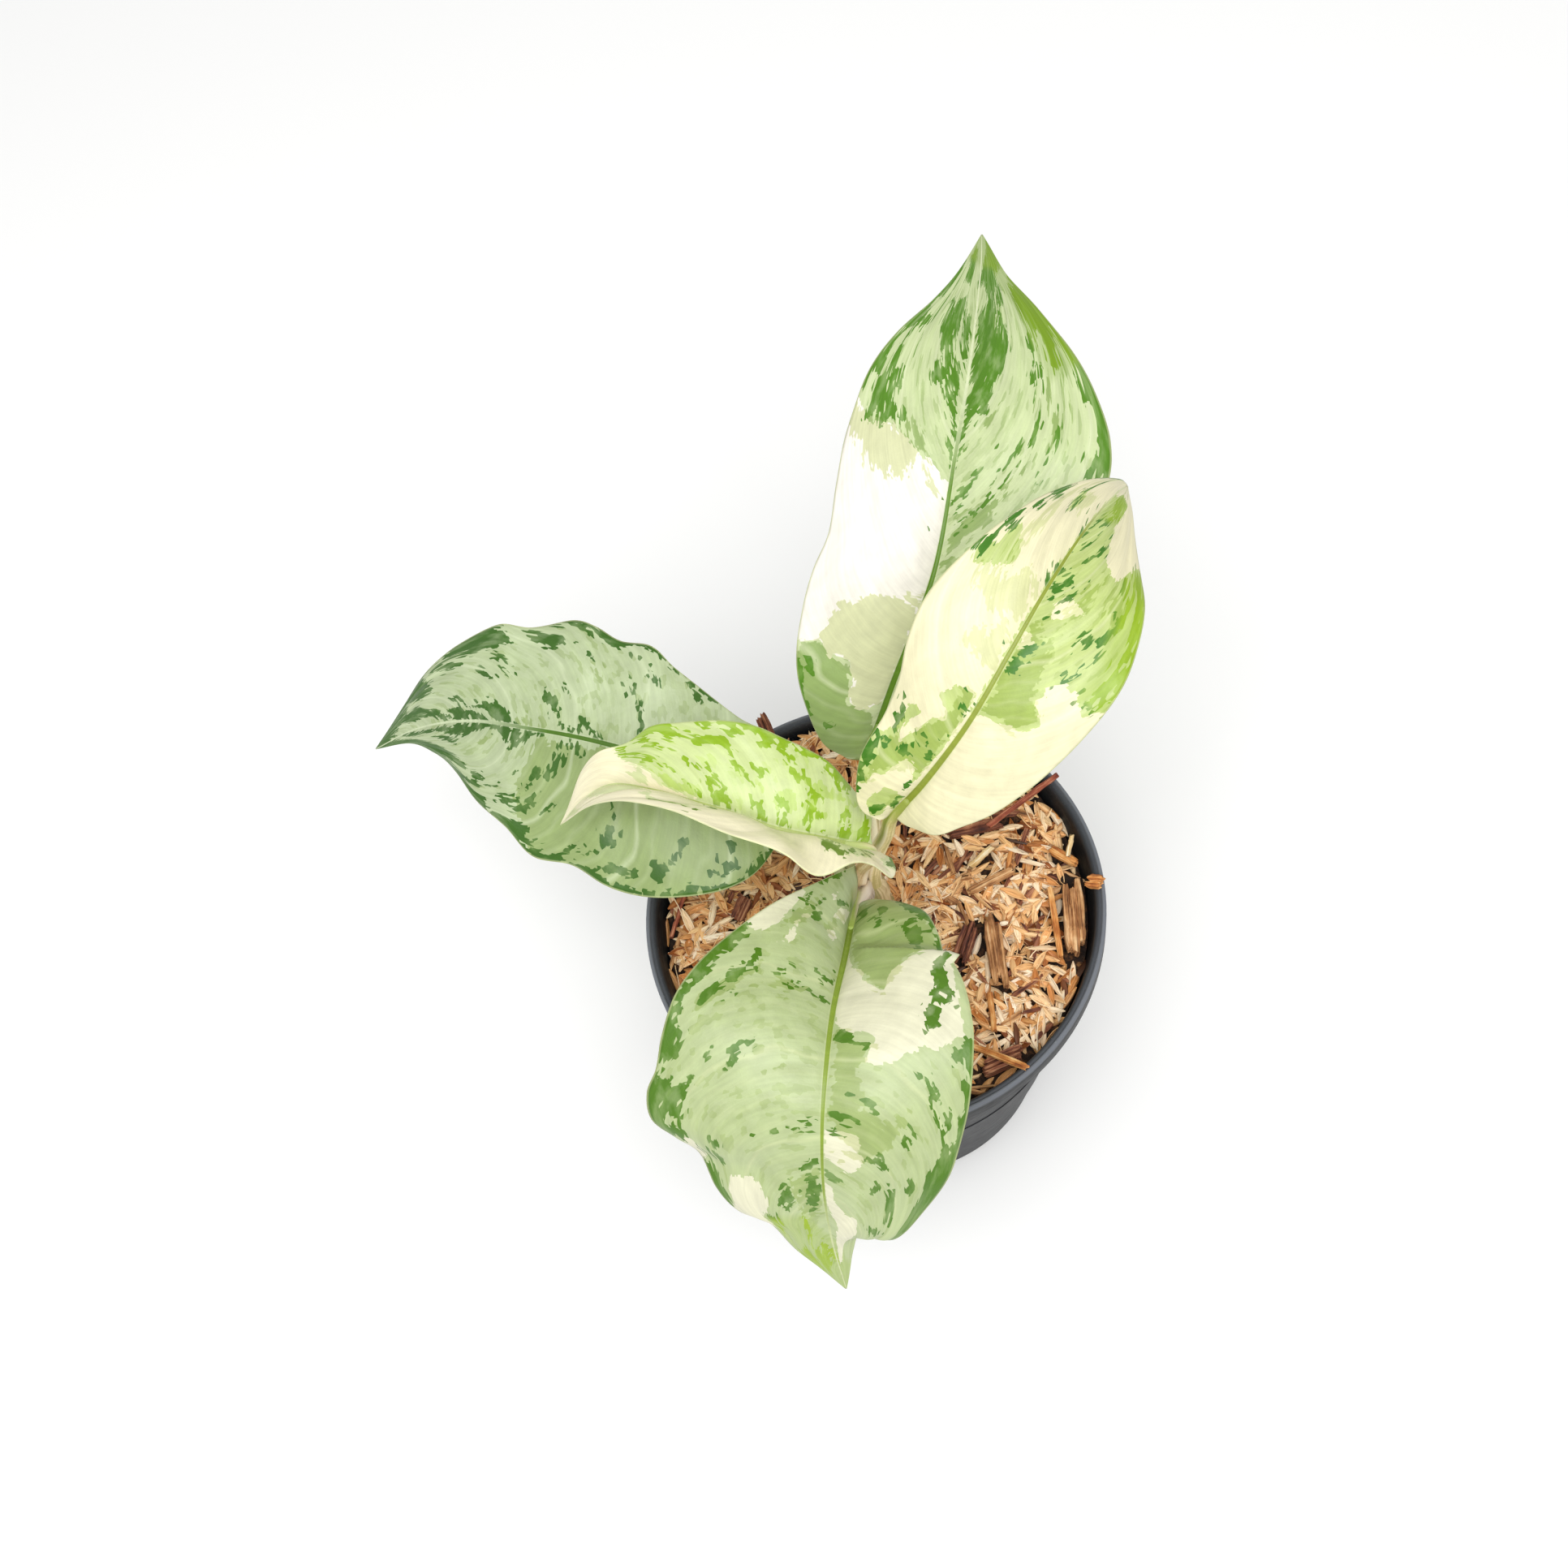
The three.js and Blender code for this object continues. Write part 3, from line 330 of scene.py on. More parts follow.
            (.229, .241, .58, .63), (.07, .087, .61, .69), (.15, .16, .61, .65), [(.66, .64), (.67, .55),
             (.7, .52), (.72, .56), (.74, .65), (.76, .75), (.8, .86), (.82, 1.1), (.76, 1.1), (.72, .9),
             (.69, .83), (.665, .78)], [(.585, .88), (.6, .82), (.62, .86), (.65, .97), (.65, 1.1),
             (.62, 1.05)], [(.12, 0), (.18, -.06), (.21, -.12), (.24, -.22), (.265, -.25), (.28, -.32),
             (.3, -.4), (.27, -.5), (.25, -.6), (.24, -.75), (.238, -1.1), (.26, -1.1), (.27, -.97),
             (.3, -.94), (.39, -.93), (.415, -.78), (.41, -.62), (.42, -.55), (.43, -.5), (.43, -.28),
             (.415, -.28), (.39, -.33), (.38, -.25), (.365, -.12), (.345, -.03), (.3, 0)], [(.535, -.02),
             (.54, -.22), (.55, -.27), (.58, -.26), (.6, -.31), (.622, -.22), (.61, -.12), (.6, -.05),
             (.6, 0)], [(.655, 0), (.66, -.08), (.7, -.1), (.73, -.2), (.74, -.35), (.78, -.42),
             (.84, -.4), (.9, -.3), (.9, -.12), (.8, -.12), (.76, -.12), (.73, -.02)],
        ],
        "lime": [
            [(.74, .2), (.8, .1), (.83, -.12), (.9, -.5), (.92, -1.1), (1.02, -1.1), (1.02, 1.1),
             (.76, 1.1)],
        ],
    },
    "leaf_c_back": {
        "dark": [
            [(.07, -.84), (.085, -.82), (.094, -.64), (.085, -.65)], [(.1, -.93), (.13, -.97), (.2, -.93),
             (.2, -1.1), (.08, -1.1)], (.182, .195, -.9, -.85), (.413, .43, .04, .14),
            (.444, .458, .05, .11), (.473, .49, .06, .17), (.458, .472, .24, .35), (.44, .46, 0, .03),
            [(.615, -1.1), (.62, -.98), (.643, -.97), (.645, -.89), (.67, -.89), (.69, -.94), (.73, -.93),
             (.735, -.88), (.71, -.82), (.74, -.8), (.75, -.74), (.77, -.76), (.785, -.85), (.8, -.93),
             (.82, -.95), (.82, -.83), (.84, -.86), (.9, -.86), (.95, -1.1)], [(.562, -.71), (.578, -.74),
             (.578, -.86), (.63, -.87), (.65, -.82), (.69, -.84), (.71, -.88), (.7, -.8), (.66, -.76),
             (.657, -.68), (.627, -.62), (.625, -.68), (.6, -.68), (.598, -.6), (.585, -.52), (.57, -.5),
             (.578, -.58), (.573, -.65)], (.82, .846, -.79, -.68), [(.64, -.34), (.66, -.38), (.69, -.35),
             (.68, -.28), (.7, -.32), (.72, -.42), (.75, -.5), (.8, -.56), (.81, -.62), (.825, -.58),
             (.8, -.48), (.82, -.42), (.835, -.33), (.82, -.27), (.79, -.24), (.72, -.24), (.7, -.2),
             (.69, -.12), (.67, -.08), (.63, -.1), (.6, -.05), (.5, -.01), (.56, -.08), (.59, -.09),
             (.62, -.17), (.65, -.22)], [(.7, -.12), (.74, -.18), (.8, -.2), (.79, -.1), (.75, -.05),
             (.71, -.04)], [(.86, -.3), (.865, -.4), (.87, -.55), (.9, -.62), (.93, -.75), (.96, -.7),
             (.955, -.4), (.93, -.32)], [(.51, .01), (.62, .01), (.65, .02), (.8, .05), (.8, .1),
             (.83, .22), (.86, .18), (.87, .1), (.865, -.05), (.9, -.06), (.91, .08), (.93, .2), (.97, .6),
             (.99, 1.1), (.9, 1.1), (.9, .8), (.88, .6), (.84, .45), (.83, .38), (.76, .33), (.79, .4),
             (.77, .42), (.73, .44), (.7, .38), (.67, .33), (.65, .25), (.62, .22), (.6, .2), (.6, .1),
             (.57, .05)], [(.635, .52), (.655, .55), (.68, .62), (.665, .65), (.65, .63)], [(.8, .5),
             (.815, .4), (.835, .42), (.86, .53), (.875, .6), (.85, .63), (.83, .54)], [(.7, .58),
             (.72, .6), (.74, .66), (.78, .7), (.82, .7), (.86, .82), (.9, 1.1), (.76, 1.1), (.75, .95),
             (.7, .86), (.67, .82), (.655, .77), (.68, .73), (.71, .76), (.735, .8), (.72, .7), (.7, .64)],
            [(.48, .9), (.5, .86), (.52, .88), (.53, .92), (.55, .88), (.56, .93), (.6, .93), (.6, .87),
             (.64, .88), (.66, .92), (.72, .93), (.78, 1), (.78, 1.1), (.48, 1.1)], (.5, .515, .28, .38),
            (.538, .558, .47, .55), (.514, .534, .59, .66),
        ],
        "half": [
            [(0, -.3), (0, -1.1), (.21, -1.1), (.225, -.8), (.2, -.68), (.195, -.5), (.17, -.44),
             (.125, -.46), (.115, -.3), (.1, -.14), (.04, -.05)], [(.125, 0), (.105, -.2), (.12, -.46),
             (.17, -.44), (.195, -.5), (.2, -.68), (.225, -.8), (.26, -.76), (.29, -.6), (.305, -.35),
             (.3, 0)], (.575, .602, .52, .6), (.59, .612, .61, .68), (.564, .582, .64, .71),
            (.588, .612, .75, .81), (.578, .6, .2, .27), (.46, .48, .28, .42), [(.35, .03), (.44, .1),
             (.46, .3), (.43, .34), (.39, .15)], [(.535, -.28), (.55, -.4), (.565, -.51), (.582, -.48),
             (.56, -.3), (.545, -.25)], [(.565, -1.1), (.53, -.85), (.495, -.7), (.485, -.45), (.51, -.35),
             (.535, -.3), (.57, -.6), (.58, -.9), (.62, -1.1)], (.47, .495, -.25, -.1), [(.66, .1),
             (.74, .1), (.8, .2), (.78, .24), (.7, .18)], [(.7, .22), (.8, .28), (.78, .36), (.72, .3)],
        ],
        "cream": [
            [(.125, 0), (.105, -.2), (.12, -.46), (.17, -.44), (.195, -.5), (.2, -.68), (.225, -.8),
             (.22, -1.1), (.62, -1.1), (.6, -.95), (.565, -.85), (.57, -.62), (.535, -.35), (.495, -.08),
             (.49, 0)],
        ],
        "lime": [
            [(.64, .68), (.8, .64), (.9, .55), (.93, -1.1), (1.02, -1.1), (1.02, 1.1), (.68, 1.1),
             (.66, .9)],
        ],
    },
    "leaf_b_high_left": {
        "dark": [
            [(.02, .5), (.03, .2), (.045, .12), (.052, .3), (.06, .78), (.05, .76), (.045, .5),
             (.03, .65)], [(-.02, -1.1), (-.02, -.84), (.03, -.78), (.065, -.72), (.06, -.78),
             (.035, -.92), (.03, -1.1)], [(.085, .04), (.12, .06), (.122, .18), (.1, .26), (.09, .2)],
            [(.14, .01), (.18, .04), (.172, .1), (.15, .16)], [(.18, .01), (.2, .03), (.212, .2),
             (.215, .39), (.205, .36), (.2, .2)], [(.235, .01), (.27, .01), (.272, .12), (.255, .22),
             (.24, .12)], [(.29, .01), (.312, .02), (.322, .2), (.315, .26), (.295, .15)], [(.258, .24),
             (.28, .31), (.3, .43), (.29, .42), (.27, .33)], (.173, .188, .2, .3), (.172, .196, .41, .5),
            (.325, .342, .13, .21), (.33, .347, .3, .39), [(.37, .01), (.39, .01), (.392, .16),
             (.38, .13)], [(.395, 0), (.432, 0), (.425, .2), (.41, .23), (.4, .12)], [(.4, .22),
             (.44, .24), (.444, .33), (.425, .35), (.41, .27)], (.443, .46, .02, .13),
            (.505, .525, .27, .37), (.455, .481, .38, .5), (.485, .507, .44, .54), [(.315, .45),
             (.33, .49), (.365, .58), (.35, .6), (.32, .54)], [(.377, .5), (.39, .48), (.408, .6),
             (.4, .65), (.385, .58)], [(.37, .65), (.4, .72), (.42, .81), (.45, .8), (.5, .84), (.55, .9),
             (.5, .78), (.46, .71), (.42, .72), (.39, .64)], (.22, .232, .5, .56), (.215, .23, .57, .67),
            (.24, .255, .6, .69), [(.242, .74), (.26, .73), (.302, .84), (.28, .86)], [(.1, 1.1),
             (.12, .8), (.14, .73), (.15, .71), (.165, .85), (.19, .88), (.19, 1.1)], [(.2, .97),
             (.25, .92), (.27, .99), (.3, .84), (.34, .81), (.36, .9), (.4, .84), (.42, .93), (.46, .88),
             (.5, 1.1), (.2, 1.1)], [(.5, .77), (.54, .76), (.57, .88), (.6, .8), (.63, .9), (.67, 1.1),
             (.55, 1.1), (.53, .95)], [(.56, .47), (.6, .47), (.63, .54), (.675, .66), (.695, 1),
             (.67, .92), (.65, .7), (.61, .58)], (.54, .562, .62, .68), (.1, .118, .33, .42),
            (.105, .125, .44, .5), [(.415, .02), (.43, -.1), (.455, -.5), (.462, -.52), (.448, -.1),
             (.435, .02)], [(.09, -.56), (.12, -.72), (.15, -.8), (.165, -.8), (.14, -.68), (.11, -.52)],
            [(.13, -.55), (.16, -.72), (.19, -.82), (.2, -.82), (.18, -.68), (.15, -.52)], [(.17, -.5),
             (.2, -.66), (.205, -.8), (.215, -.78), (.225, -.6), (.21, -.48), (.19, -.42)], [(.07, -.32),
             (.1, -.46), (.13, -.5), (.11, -.4), (.08, -.28)], [(.5, -.79), (.52, -.83), (.6, -.85),
             (.6, -.82), (.53, -.78)],
        ],
        "half": [
            [(-.02, -1.1), (-.02, -.66), (.07, -.62), (.09, -.72), (.06, -.9), (.045, -1.1)], [(.04, -.1),
             (.07, -.4), (.12, -.8), (.18, -.88), (.205, -.8), (.225, -.6), (.2, -.4), (.21, -.2),
             (.29, -.02)], [(.5, -.76), (.52, -.84), (.6, -.86), (.625, -.6), (.62, -.3), (.6, -.7)],
            [(.62, -.02), (.62, -.3), (.69, -.55), (.76, -.6), (.8, -.5), (.84, -.05)], [(.86, -.9),
             (.9, -.98), (.95, -.6), (.95, 0), (.92, 0)], (.2, .3, .25, .42), (.47, .57, .1, .3),
            [(.59, .05), (.63, .1), (.65, .3), (.62, .4), (.6, .3)], (.1, .2, .55, .7),
        ],
        "cream": [
            [(-.02, 0), (-.02, -1.1), (1.02, -1.1), (1.02, 1.1), (.7, 1.1), (.69, .8), (.65, .5),
             (.6, .35), (.57, .25), (.55, .1), (.46, .05), (.46, 0)],
        ],
        "lime": [
            [(-.1, .02), (.7, .02), (.7, 1.2), (-.1, 1.2)], [(.78, -1.1), (1.02, -1.1), (1.02, 1.1),
             (.78, 1.1)],
        ],
    },
    "leaf_d_high_right": {
        "dark": [
            [(.07, -1.1), (.08, -.95), (.1, -.84), (.12, -.9), (.15, -.79), (.17, -.82), (.195, -.88),
             (.2, -1.1)], (.208, .247, -.86, -.77), [(.02, -.82), (.04, -.75), (.057, -.6), (.05, -.48),
             (.04, -.6), (.03, -.7)], [(.03, -.18), (.05, -.25), (.073, -.24), (.06, -.18)], [(.1, -.19),
             (.12, -.26), (.134, -.17), (.12, -.12)], (.187, .217, -.25, -.13), (.195, .207, -.43, -.34),
            (.187, .212, -.54, -.48), (.238, .262, -.2, -.11), (.3, .322, -.15, -.09), [(.563, -.81),
             (.57, -.94), (.6, -.98), (.615, -.92), (.59, -.84), (.57, -.81)], [(.628, -.81), (.64, -.95),
             (.66, -1.07), (.69, -.94), (.66, -.88), (.64, -.79)], [(.7, -.81), (.71, -.93), (.734, -.94),
             (.73, -.84)], [(.737, -.84), (.76, -.9), (.76, -1.1), (.85, -1.1), (.83, -.96), (.8, -.87),
             (.77, -.82)], [(.755, -.46), (.79, -.58), (.836, -.7), (.82, -.6), (.79, -.49), (.77, -.44)],
            (.873, .907, -.79, -.58), [(.575, -.02), (.6, -.08), (.66, -.06), (.65, -.02), (.642, .09),
             (.62, .05), (.6, .02)], [(.86, -1.1), (.9, -.96), (1, -.8), (1, -1.1)], [(.322, -.04),
             (.35, -.05), (.356, .03), (.34, .05)], [(.416, .1), (.43, .01), (.446, .05), (.437, .2),
             (.425, .21)], (.453, .467, .06, .14), [(.57, .05), (.6, .01), (.6, .1), (.627, .17),
             (.61, .21), (.58, .12)], (.573, .593, .17, .26), (.723, .747, -.06, .03),
            (.773, .802, .07, .14), (.707, .722, .12, .17), [(.772, .18), (.8, .16), (.825, .3),
             (.81, .34), (.79, .25)], (.678, .726, .28, .36), [(.508, .45), (.53, .49), (.553, .57),
             (.53, .58)], (.495, .512, .6, .69), [(.53, .66), (.54, .6), (.557, .65), (.58, .74),
             (.55, .73)], [(.585, .7), (.6, .68), (.607, .79), (.59, .8)], [(.615, .81), (.64, .71),
             (.695, .75), (.69, .81), (.65, .8)], [(.427, .88), (.44, .73), (.46, .82), (.5, .86),
             (.55, .87), (.6, .89), (.68, .83), (.72, .88), (.75, .95), (.7, .97), (.6, 1.1), (.48, 1.1),
             (.47, .95)], [(.815, .42), (.85, .2), (.9, .18), (.925, .3), (.9, .62), (.87, .55),
             (.84, .47)],
        ],
        "half": [
            [(.41, -.08), (.41, -.35), (.42, -.5), (.45, -.45), (.472, -.2), (.46, -.06)], [(.495, -.08),
             (.5, -.4), (.52, -.66), (.555, -.78), (.56, -.5), (.59, -.3), (.58, -.08)], [(.1, -.82),
             (.2, -.82), (.2, -.6), (.27, -.35), (.35, -.2), (.35, -.08), (.12, -.12), (.16, -.35)],
            [(.33, .02), (.34, .45), (.37, .58), (.4, .42), (.5, .25), (.52, .02)], [(.55, .7), (.62, .6),
             (.67, .75), (.6, .82)], (.54, .62, .3, .45), (.66, .76, -.8, -.55), [(.76, -.3), (.78, -.45),
             (.84, -.55), (.84, -.3)],
        ],
        "green": [
            [(.08, -1.1), (.1, -.8), (.13, -.75), (.13, -.6), (.17, -.4), (.16, -.2), (.12, -.15),
             (.2, -.08), (.35, -.1), (.352, -.3), (.32, -.47), (.3, -.3), (.28, -.25), (.27, -.4),
             (.22, -.55), (.2, -.62), (.22, -.72), (.25, -.65), (.272, -.56), (.283, -.65), (.27, -.75),
             (.22, -.8), (.2, -.85), (.2, -1.1)], [(.02, -.9), (.06, -.75), (.1, -.5), (.1, -.35),
             (.08, -.1), (.03, -.15), (.045, -.35), (.02, -.6)], [(.545, -.85), (.56, -.7), (.58, -.5),
             (.6, -.52), (.63, -.65), (.66, -.85), (.6, -.8), (.58, -.95)], [(.755, -.46), (.836, -.7),
             (.82, -.5), (.78, -.44)], (.873, .907, -.79, -.58), [(.315, -.03), (.33, .3), (.34, .47),
             (.372, .61), (.4, .42), (.415, .48), (.43, .42), (.45, .55), (.45, .7), (.427, .86),
             (.47, 1.1), (.75, 1.1), (.72, .88), (.7, .78), (.66, .6), (.7, .43), (.8, .44), (.84, .5),
             (.9, .65), (.93, .3), (.9, .1), (.93, -.02)],
        ],
        "cream": [
            [(.537, .2), (.56, .13), (.587, .2), (.585, .3), (.57, .44), (.56, .33), (.54, .28)],
            [(.457, .03), (.5, -.01), (.493, .12), (.47, .14)], (.12, .16, -.5, -.3),
        ],
        "lime": [
            [(.8, .1), (.97, .1), (.97, .75), (.8, .75)], [(.44, .74), (.7, .7), (.76, 1.1), (.44, 1.1)],
        ],
    },
}

# Loose wood on the bed: the ends of each piece, its width and depth, whether it is a flat plank or a
# round stick, and its finish.
WOOD = {
    "slab_right": ((56, -5.9, 105.6), (51.6, -25.7, 105.6), 6, 4.2, "plank", "weathered"),
    "slab_middle": ((31.5, -9.2, 104.2), (28.9, -28.6, 104.2), 5, 3.4, "plank", "weathered"),
    "strip_right": ((50, -4.6, 104.4), (47, -26.2, 104.4), 1.8, 2.8, "plank", "orange"),
    "plank_bark": ((25.8, -9.4, 104), (19.6, -18.8, 103.4), 4.8, 3.6, "plank", "bark"),
    "plank_grey": ((27.2, 0.4, 103.8), (41.7, 3.6, 104), 2.6, 1.4, "plank", "weathered"),
    "plank_brown": ((53.4, 6.6, 105.2), (59.2, -0.6, 106.2), 2.6, 2.2, "plank", "orange"),
    "block_rim": ((59.4, -8.9, 112.6), (63.6, -11, 114), 4, 2.2, "plank", "orange"),
    "bark_strip": ((25.6, 18.7, 106.1), (41.4, 17.9, 106.1), 3.4, 2, "plank", "bark"),
    "bark_chunk": ((17.5, -51.6, 104), (29.1, -49.6, 104), 4.8, 4, "plank", "bark"),
    "bark_chip_left": ((-34, 15.6, 105.8), (-38.6, 9.7, 104.8), 4.4, 2.4, "plank", "bark"),
    "bark_chip_far": ((-15.6, 55.5, 111.2), (-17.4, 67.2, 115.2), 3.8, 1.2, "plank", "bark"),
    "reed_middle": ((29.9, 7.5, 104.9), (37.4, 11.2, 105.9), 2.2, 2.2, "stick", "reed"),
    "reed_right": ((57.2, 1.8, 108.1), (59.8, 7, 109.6), 1.6, 1.6, "stick", "reed"),
    "stick_over_rim": ((38, 16.8, 108.5), (60.4, 23.9, 115.1), 1.9, 1.9, "stick", "red"),
    "stick_orange": ((25.2, -30.6, 103.6), (23.5, -41.4, 103.2), 1.9, 1.9, "stick", "orange"),
    "stick_long": ((15, -43, 103.8), (28.8, -57.4, 114), 1.8, 1.2, "plank", "orange"),
    "stick_left": ((-50.1, 23, 106.9), (-58.1, 9.6, 104.6), 1.4, 1.4, "stick", "red"),
}
STRIP_WIDTH = 1.8  # a wide plank has split into strips of about this width
# Tones of each finish, from its deepest grain to its raised fibres.
WOOD_TONES = {
    "weathered": ("#38200f", "#94623a", "#c9935f", "#ecc595"),
    "orange": ("#55290f", "#a85f2a", "#d8934e", "#f2c688"),
    "bark": ("#24100c", "#5a2d20", "#8e5439", "#bd8763"),
    "red": ("#3f1710", "#7d3726", "#a6573c", "#c98c6a"),
    "reed": ("#8a6637", "#d3aa6b", "#ebcc98", "#fbefd4"),
}
WOOD_SLOTS = {"weathered": "wood", "orange": "wood", "bark": "bark", "red": "bark", "reed": "reed"}

# Colours of each blade as the eye sees them in the stage's light: the main green, its middle tone, the
# deep green, the part with no green, the middle tone on that part, the veins, the midrib, and the fresher
# green of young tips and margins. The last number is the light on the blade, against plain white.
PALETTES = {
    "leaf_a_low_left": (
        ("#bfcca4", "#98ab70", "#527432", "#e6e9c8", "#c9d6a4", "#d3deb8", "#5f7f3e", "#8aa552"), 1.15,
    ),
    "leaf_e_front": (
        ("#bfcc9b", "#a3b574", "#63883c", "#e9e7ca", "#d0d4a2", "#d2daa8", "#93a850", "#a4bf3e"), 1.25,
    ),
    "leaf_c_back": (
        ("#cfdbaa", "#94ad68", "#65903c", "#f8f3e8", "#d3d7a4", "#e0e7bf", "#6f9232", "#85a536"), 1.17,
    ),
    "leaf_b_high_left": (
        ("#e0e7b6", "#c6da84", "#739038", "#f6efcc", "#d5dfa6", "#e8eec4", "#c2cf84", "#93b52c"), 1.12,
    ),
    "leaf_d_high_right": (
        ("#c6d58c", "#a3b863", "#568616", "#f0eac4", "#d8dba4", "#dfe5b0", "#98a450", "#98b634"), 1.2,
    ),
}
GLEAM = 0.045  # light that the waxed skin sends back from the bright room, over the leaf's own colour

# Stalks: the light, middle and dark tone of the skin, and the groove. The back and high right stalks are
# set paler than their own skin: painted light against the shade of the leaves over them.
STALKS = {
    "leaf_a_low_left": ("#c9cba0", "#a3ac78", "#7c8a54", "#64823f"),
    "leaf_e_front": ("#dccfbd", "#bcae9c", "#978b78", "#9db055"),
    "leaf_c_back": ("#f6ebc8", "#dcca9c", "#b0a070", "#75933a"),
    "leaf_b_high_left": ("#f2dfbe", "#dcbd8d", "#b99663", "#bcc97f"),
    "leaf_d_high_right": ("#fbf0cf", "#ecdca6", "#c6b878", "#8a9640"),
}
# Where each midrib turns from green to pale.
RIB_FADE = {
    "leaf_a_low_left": (0.5, 0.7),
    "leaf_e_front": (0.7, 0.85),
    "leaf_c_back": (0.5, 0.68),
    "leaf_b_high_left": (0.6, 0.9),
    "leaf_d_high_right": (0.75, 0.95),
}

# The grid of a blade, and how far along the leaf it reaches.
BLADE_ROWS = 170
BLADE_COLUMNS = 100
TIP_AT = 0.997
# The front leaf's crease, from the midrib to its left margin, as places along it.
CREASE = (0.145, 0.25)

# The camera that the photo solves to, in metres and degrees, and how far the floor lies under the pot.
CAMERA_AT = (-0.0157, -0.2365, 0.6795)
CAMERA_PITCH = 63.66
CAMERA_ROLL = -14.54
LENS = 50
SENSOR = 36
FLOOR_DROP = 0.0003

# Settings that many shader nodes share, and the mixing node's output that carries a colour.
PRODUCT = {"operation": "MULTIPLY"}
SUM = {"operation": "ADD"}
SCALED_SUM = {"operation": "MULTIPLY_ADD"}
FOLD = {"operation": "PINGPONG"}
BLEND = {"data_type": "RGBA"}
FLAT = {"noise_dimensions": "2D"}
MIXED_COLOUR = 2


def linear(colour):
    """A hex colour as the eye names it, as the light values that shaders work with."""
    parts = [int(colour[i : i + 2], 16) / 255 for i in (1, 3, 5)]
    return (*[c / 12.92 if c <= 0.04045 else ((c + 0.055) / 1.055) ** 2.4 for c in parts], 1)


def smooth(value, low, high):
    """0 below low, 1 above high, and an even ease between them."""
    share = np.clip((np.asarray(value, float) - low) / (high - low), 0, 1)
    return share * share * (3 - 2 * share)


def even_curve(points, fractions):
    """Points at fractions of the length of a smooth curve through guide points, and the length."""
    guide = np.array(points, float)
    guide = np.vstack([2 * guide[0] - guide[1], guide, 2 * guide[-1] - guide[-2]])
    steps = np.linspace(0, len(points) - 1, 1601)
    start = np.minimum(steps.astype(int), len(points) - 2)
    s = (steps - start)[:, None]
    a, b, c, d = (guide[start + k] for k in range(4))
    line = 0.5 * (2 * b + (c - a) * s + (2 * a - 5 * b + 4 * c - d) * s**2 + (3 * b - a - 3 * c + d) * s**3)
    gone = np.concatenate([[0], np.cumsum(np.linalg.norm(np.diff(line, axis=0), axis=1))])
    places = np.asarray(fractions) * gone[-1]
    return np.stack([np.interp(places, gone, line[:, k]) for k in range(3)], -1), gone[-1]


def bump(away, width):
    """1 where away is 0, and falling softly to 0 on both sides of it."""
    return np.exp(-((away / width) ** 2))


def set_inputs(tree, made, **inputs):
    """Sets a node's inputs. They are named, or _0, _1 by their order.

    An input takes a value, another node's socket, or another node for its main output.
    """
    for name, value in inputs.items():
        key = int(name[1:]) if name[0] == "_" else name.replace("_", " ")
        if isinstance(value, bpy.types.Node):
            value = value.outputs[MIXED_COLOUR if value.type == "MIX" else 0]
        if isinstance(value, bpy.types.NodeSocket):
            tree.links.new(value, made.inputs[key])
        else:
            made.inputs[key].default_value = value


def add_node(tree, kind, settings=None, stops=(), **inputs):
    """Adds a node with its settings and inputs. Stops are the places and hex colours of a colour ramp."""
    made = tree.nodes.new("ShaderNode" + kind)
    for name, value in (settings or {}).items():
        setattr(made, name, value)
    for index, (place, colour) in enumerate(stops):
        elements = made.color_ramp.elements
        stop = elements[index] if index < 2 else elements.new(place)
        stop.position = place
        stop.color = linear(colour)
    set_inputs(tree, made, **inputs)
    return made


def new_finish(name):
    """An empty material with its surface shader."""
    finish = bpy.data.materials.new(name)
    finish.use_nodes = True
    tree = finish.node_tree
    return finish, tree, tree.nodes["Principled BSDF"]


def clear_selection():
    if bpy.context.object and bpy.context.object.mode != "OBJECT":
        bpy.ops.object.mode_set(mode="OBJECT")
    bpy.ops.object.select_all(action="DESELECT")


def begin(name, primitive, location=(0, 0, 0), **size):
    """Adds a primitive with nothing else selected, and names it."""
    clear_selection()
    primitive(location=location, **size)
    piece = bpy.context.object
    piece.name = name
    piece.data.name = name
    return piece


def corners(piece):
    """The piece's vertices in its own space."""
    flat = np.zeros(len(piece.data.vertices) * 3)
    piece.data.vertices.foreach_get("co", flat)
    return flat.reshape(-1, 3)


def put_corners(piece, places):
    """Moves the piece's vertices to places in millimetres."""
    piece.data.vertices.foreach_set("co", (np.asarray(places, float) * MM).ravel())
    piece.data.update()


def write_field(piece, name, values):
    """Stores numbers on the vertices: one, three or four a vertex."""
    values = np.asarray(values, float)
    width = 1 if values.ndim == 1 else values.shape[1]
    kind, key = {1: ("FLOAT", "value"), 3: ("FLOAT_VECTOR", "vector"), 4: ("FLOAT_COLOR", "color")}[width]
    field = piece.data.attributes.new(name, kind, "POINT")
    field.data.foreach_set(key, values.ravel())


def outward(merge=0.0):
    """Joins corners that meet on the piece in hand, and turns every face to look out."""
    bpy.ops.object.mode_set(mode="EDIT")
    bpy.ops.mesh.select_all(action="SELECT")
    if merge:
        bpy.ops.mesh.remove_doubles(threshold=merge)
    bpy.ops.mesh.normals_make_consistent(inside=False)
    bpy.ops.object.mode_set(mode="OBJECT")


def done(piece, node, slot, *finishes, angle=None):
    """Puts the finish on, smooths the shading, and sets the piece in the frame in place of its node."""
    if finishes:
        piece.data.materials.clear()
        for finish in finishes:
            piece.data.materials.append(finish)
    bpy.ops.object.select_all(action="DESELECT")
    piece.select_set(True)
    bpy.context.view_layer.objects.active = piece
    if angle is None:
        bpy.ops.object.shade_smooth()
    else:
        bpy.ops.object.shade_smooth_by_angle(angle=math.radians(angle))
    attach(piece, "root")
    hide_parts(node)
    return piece


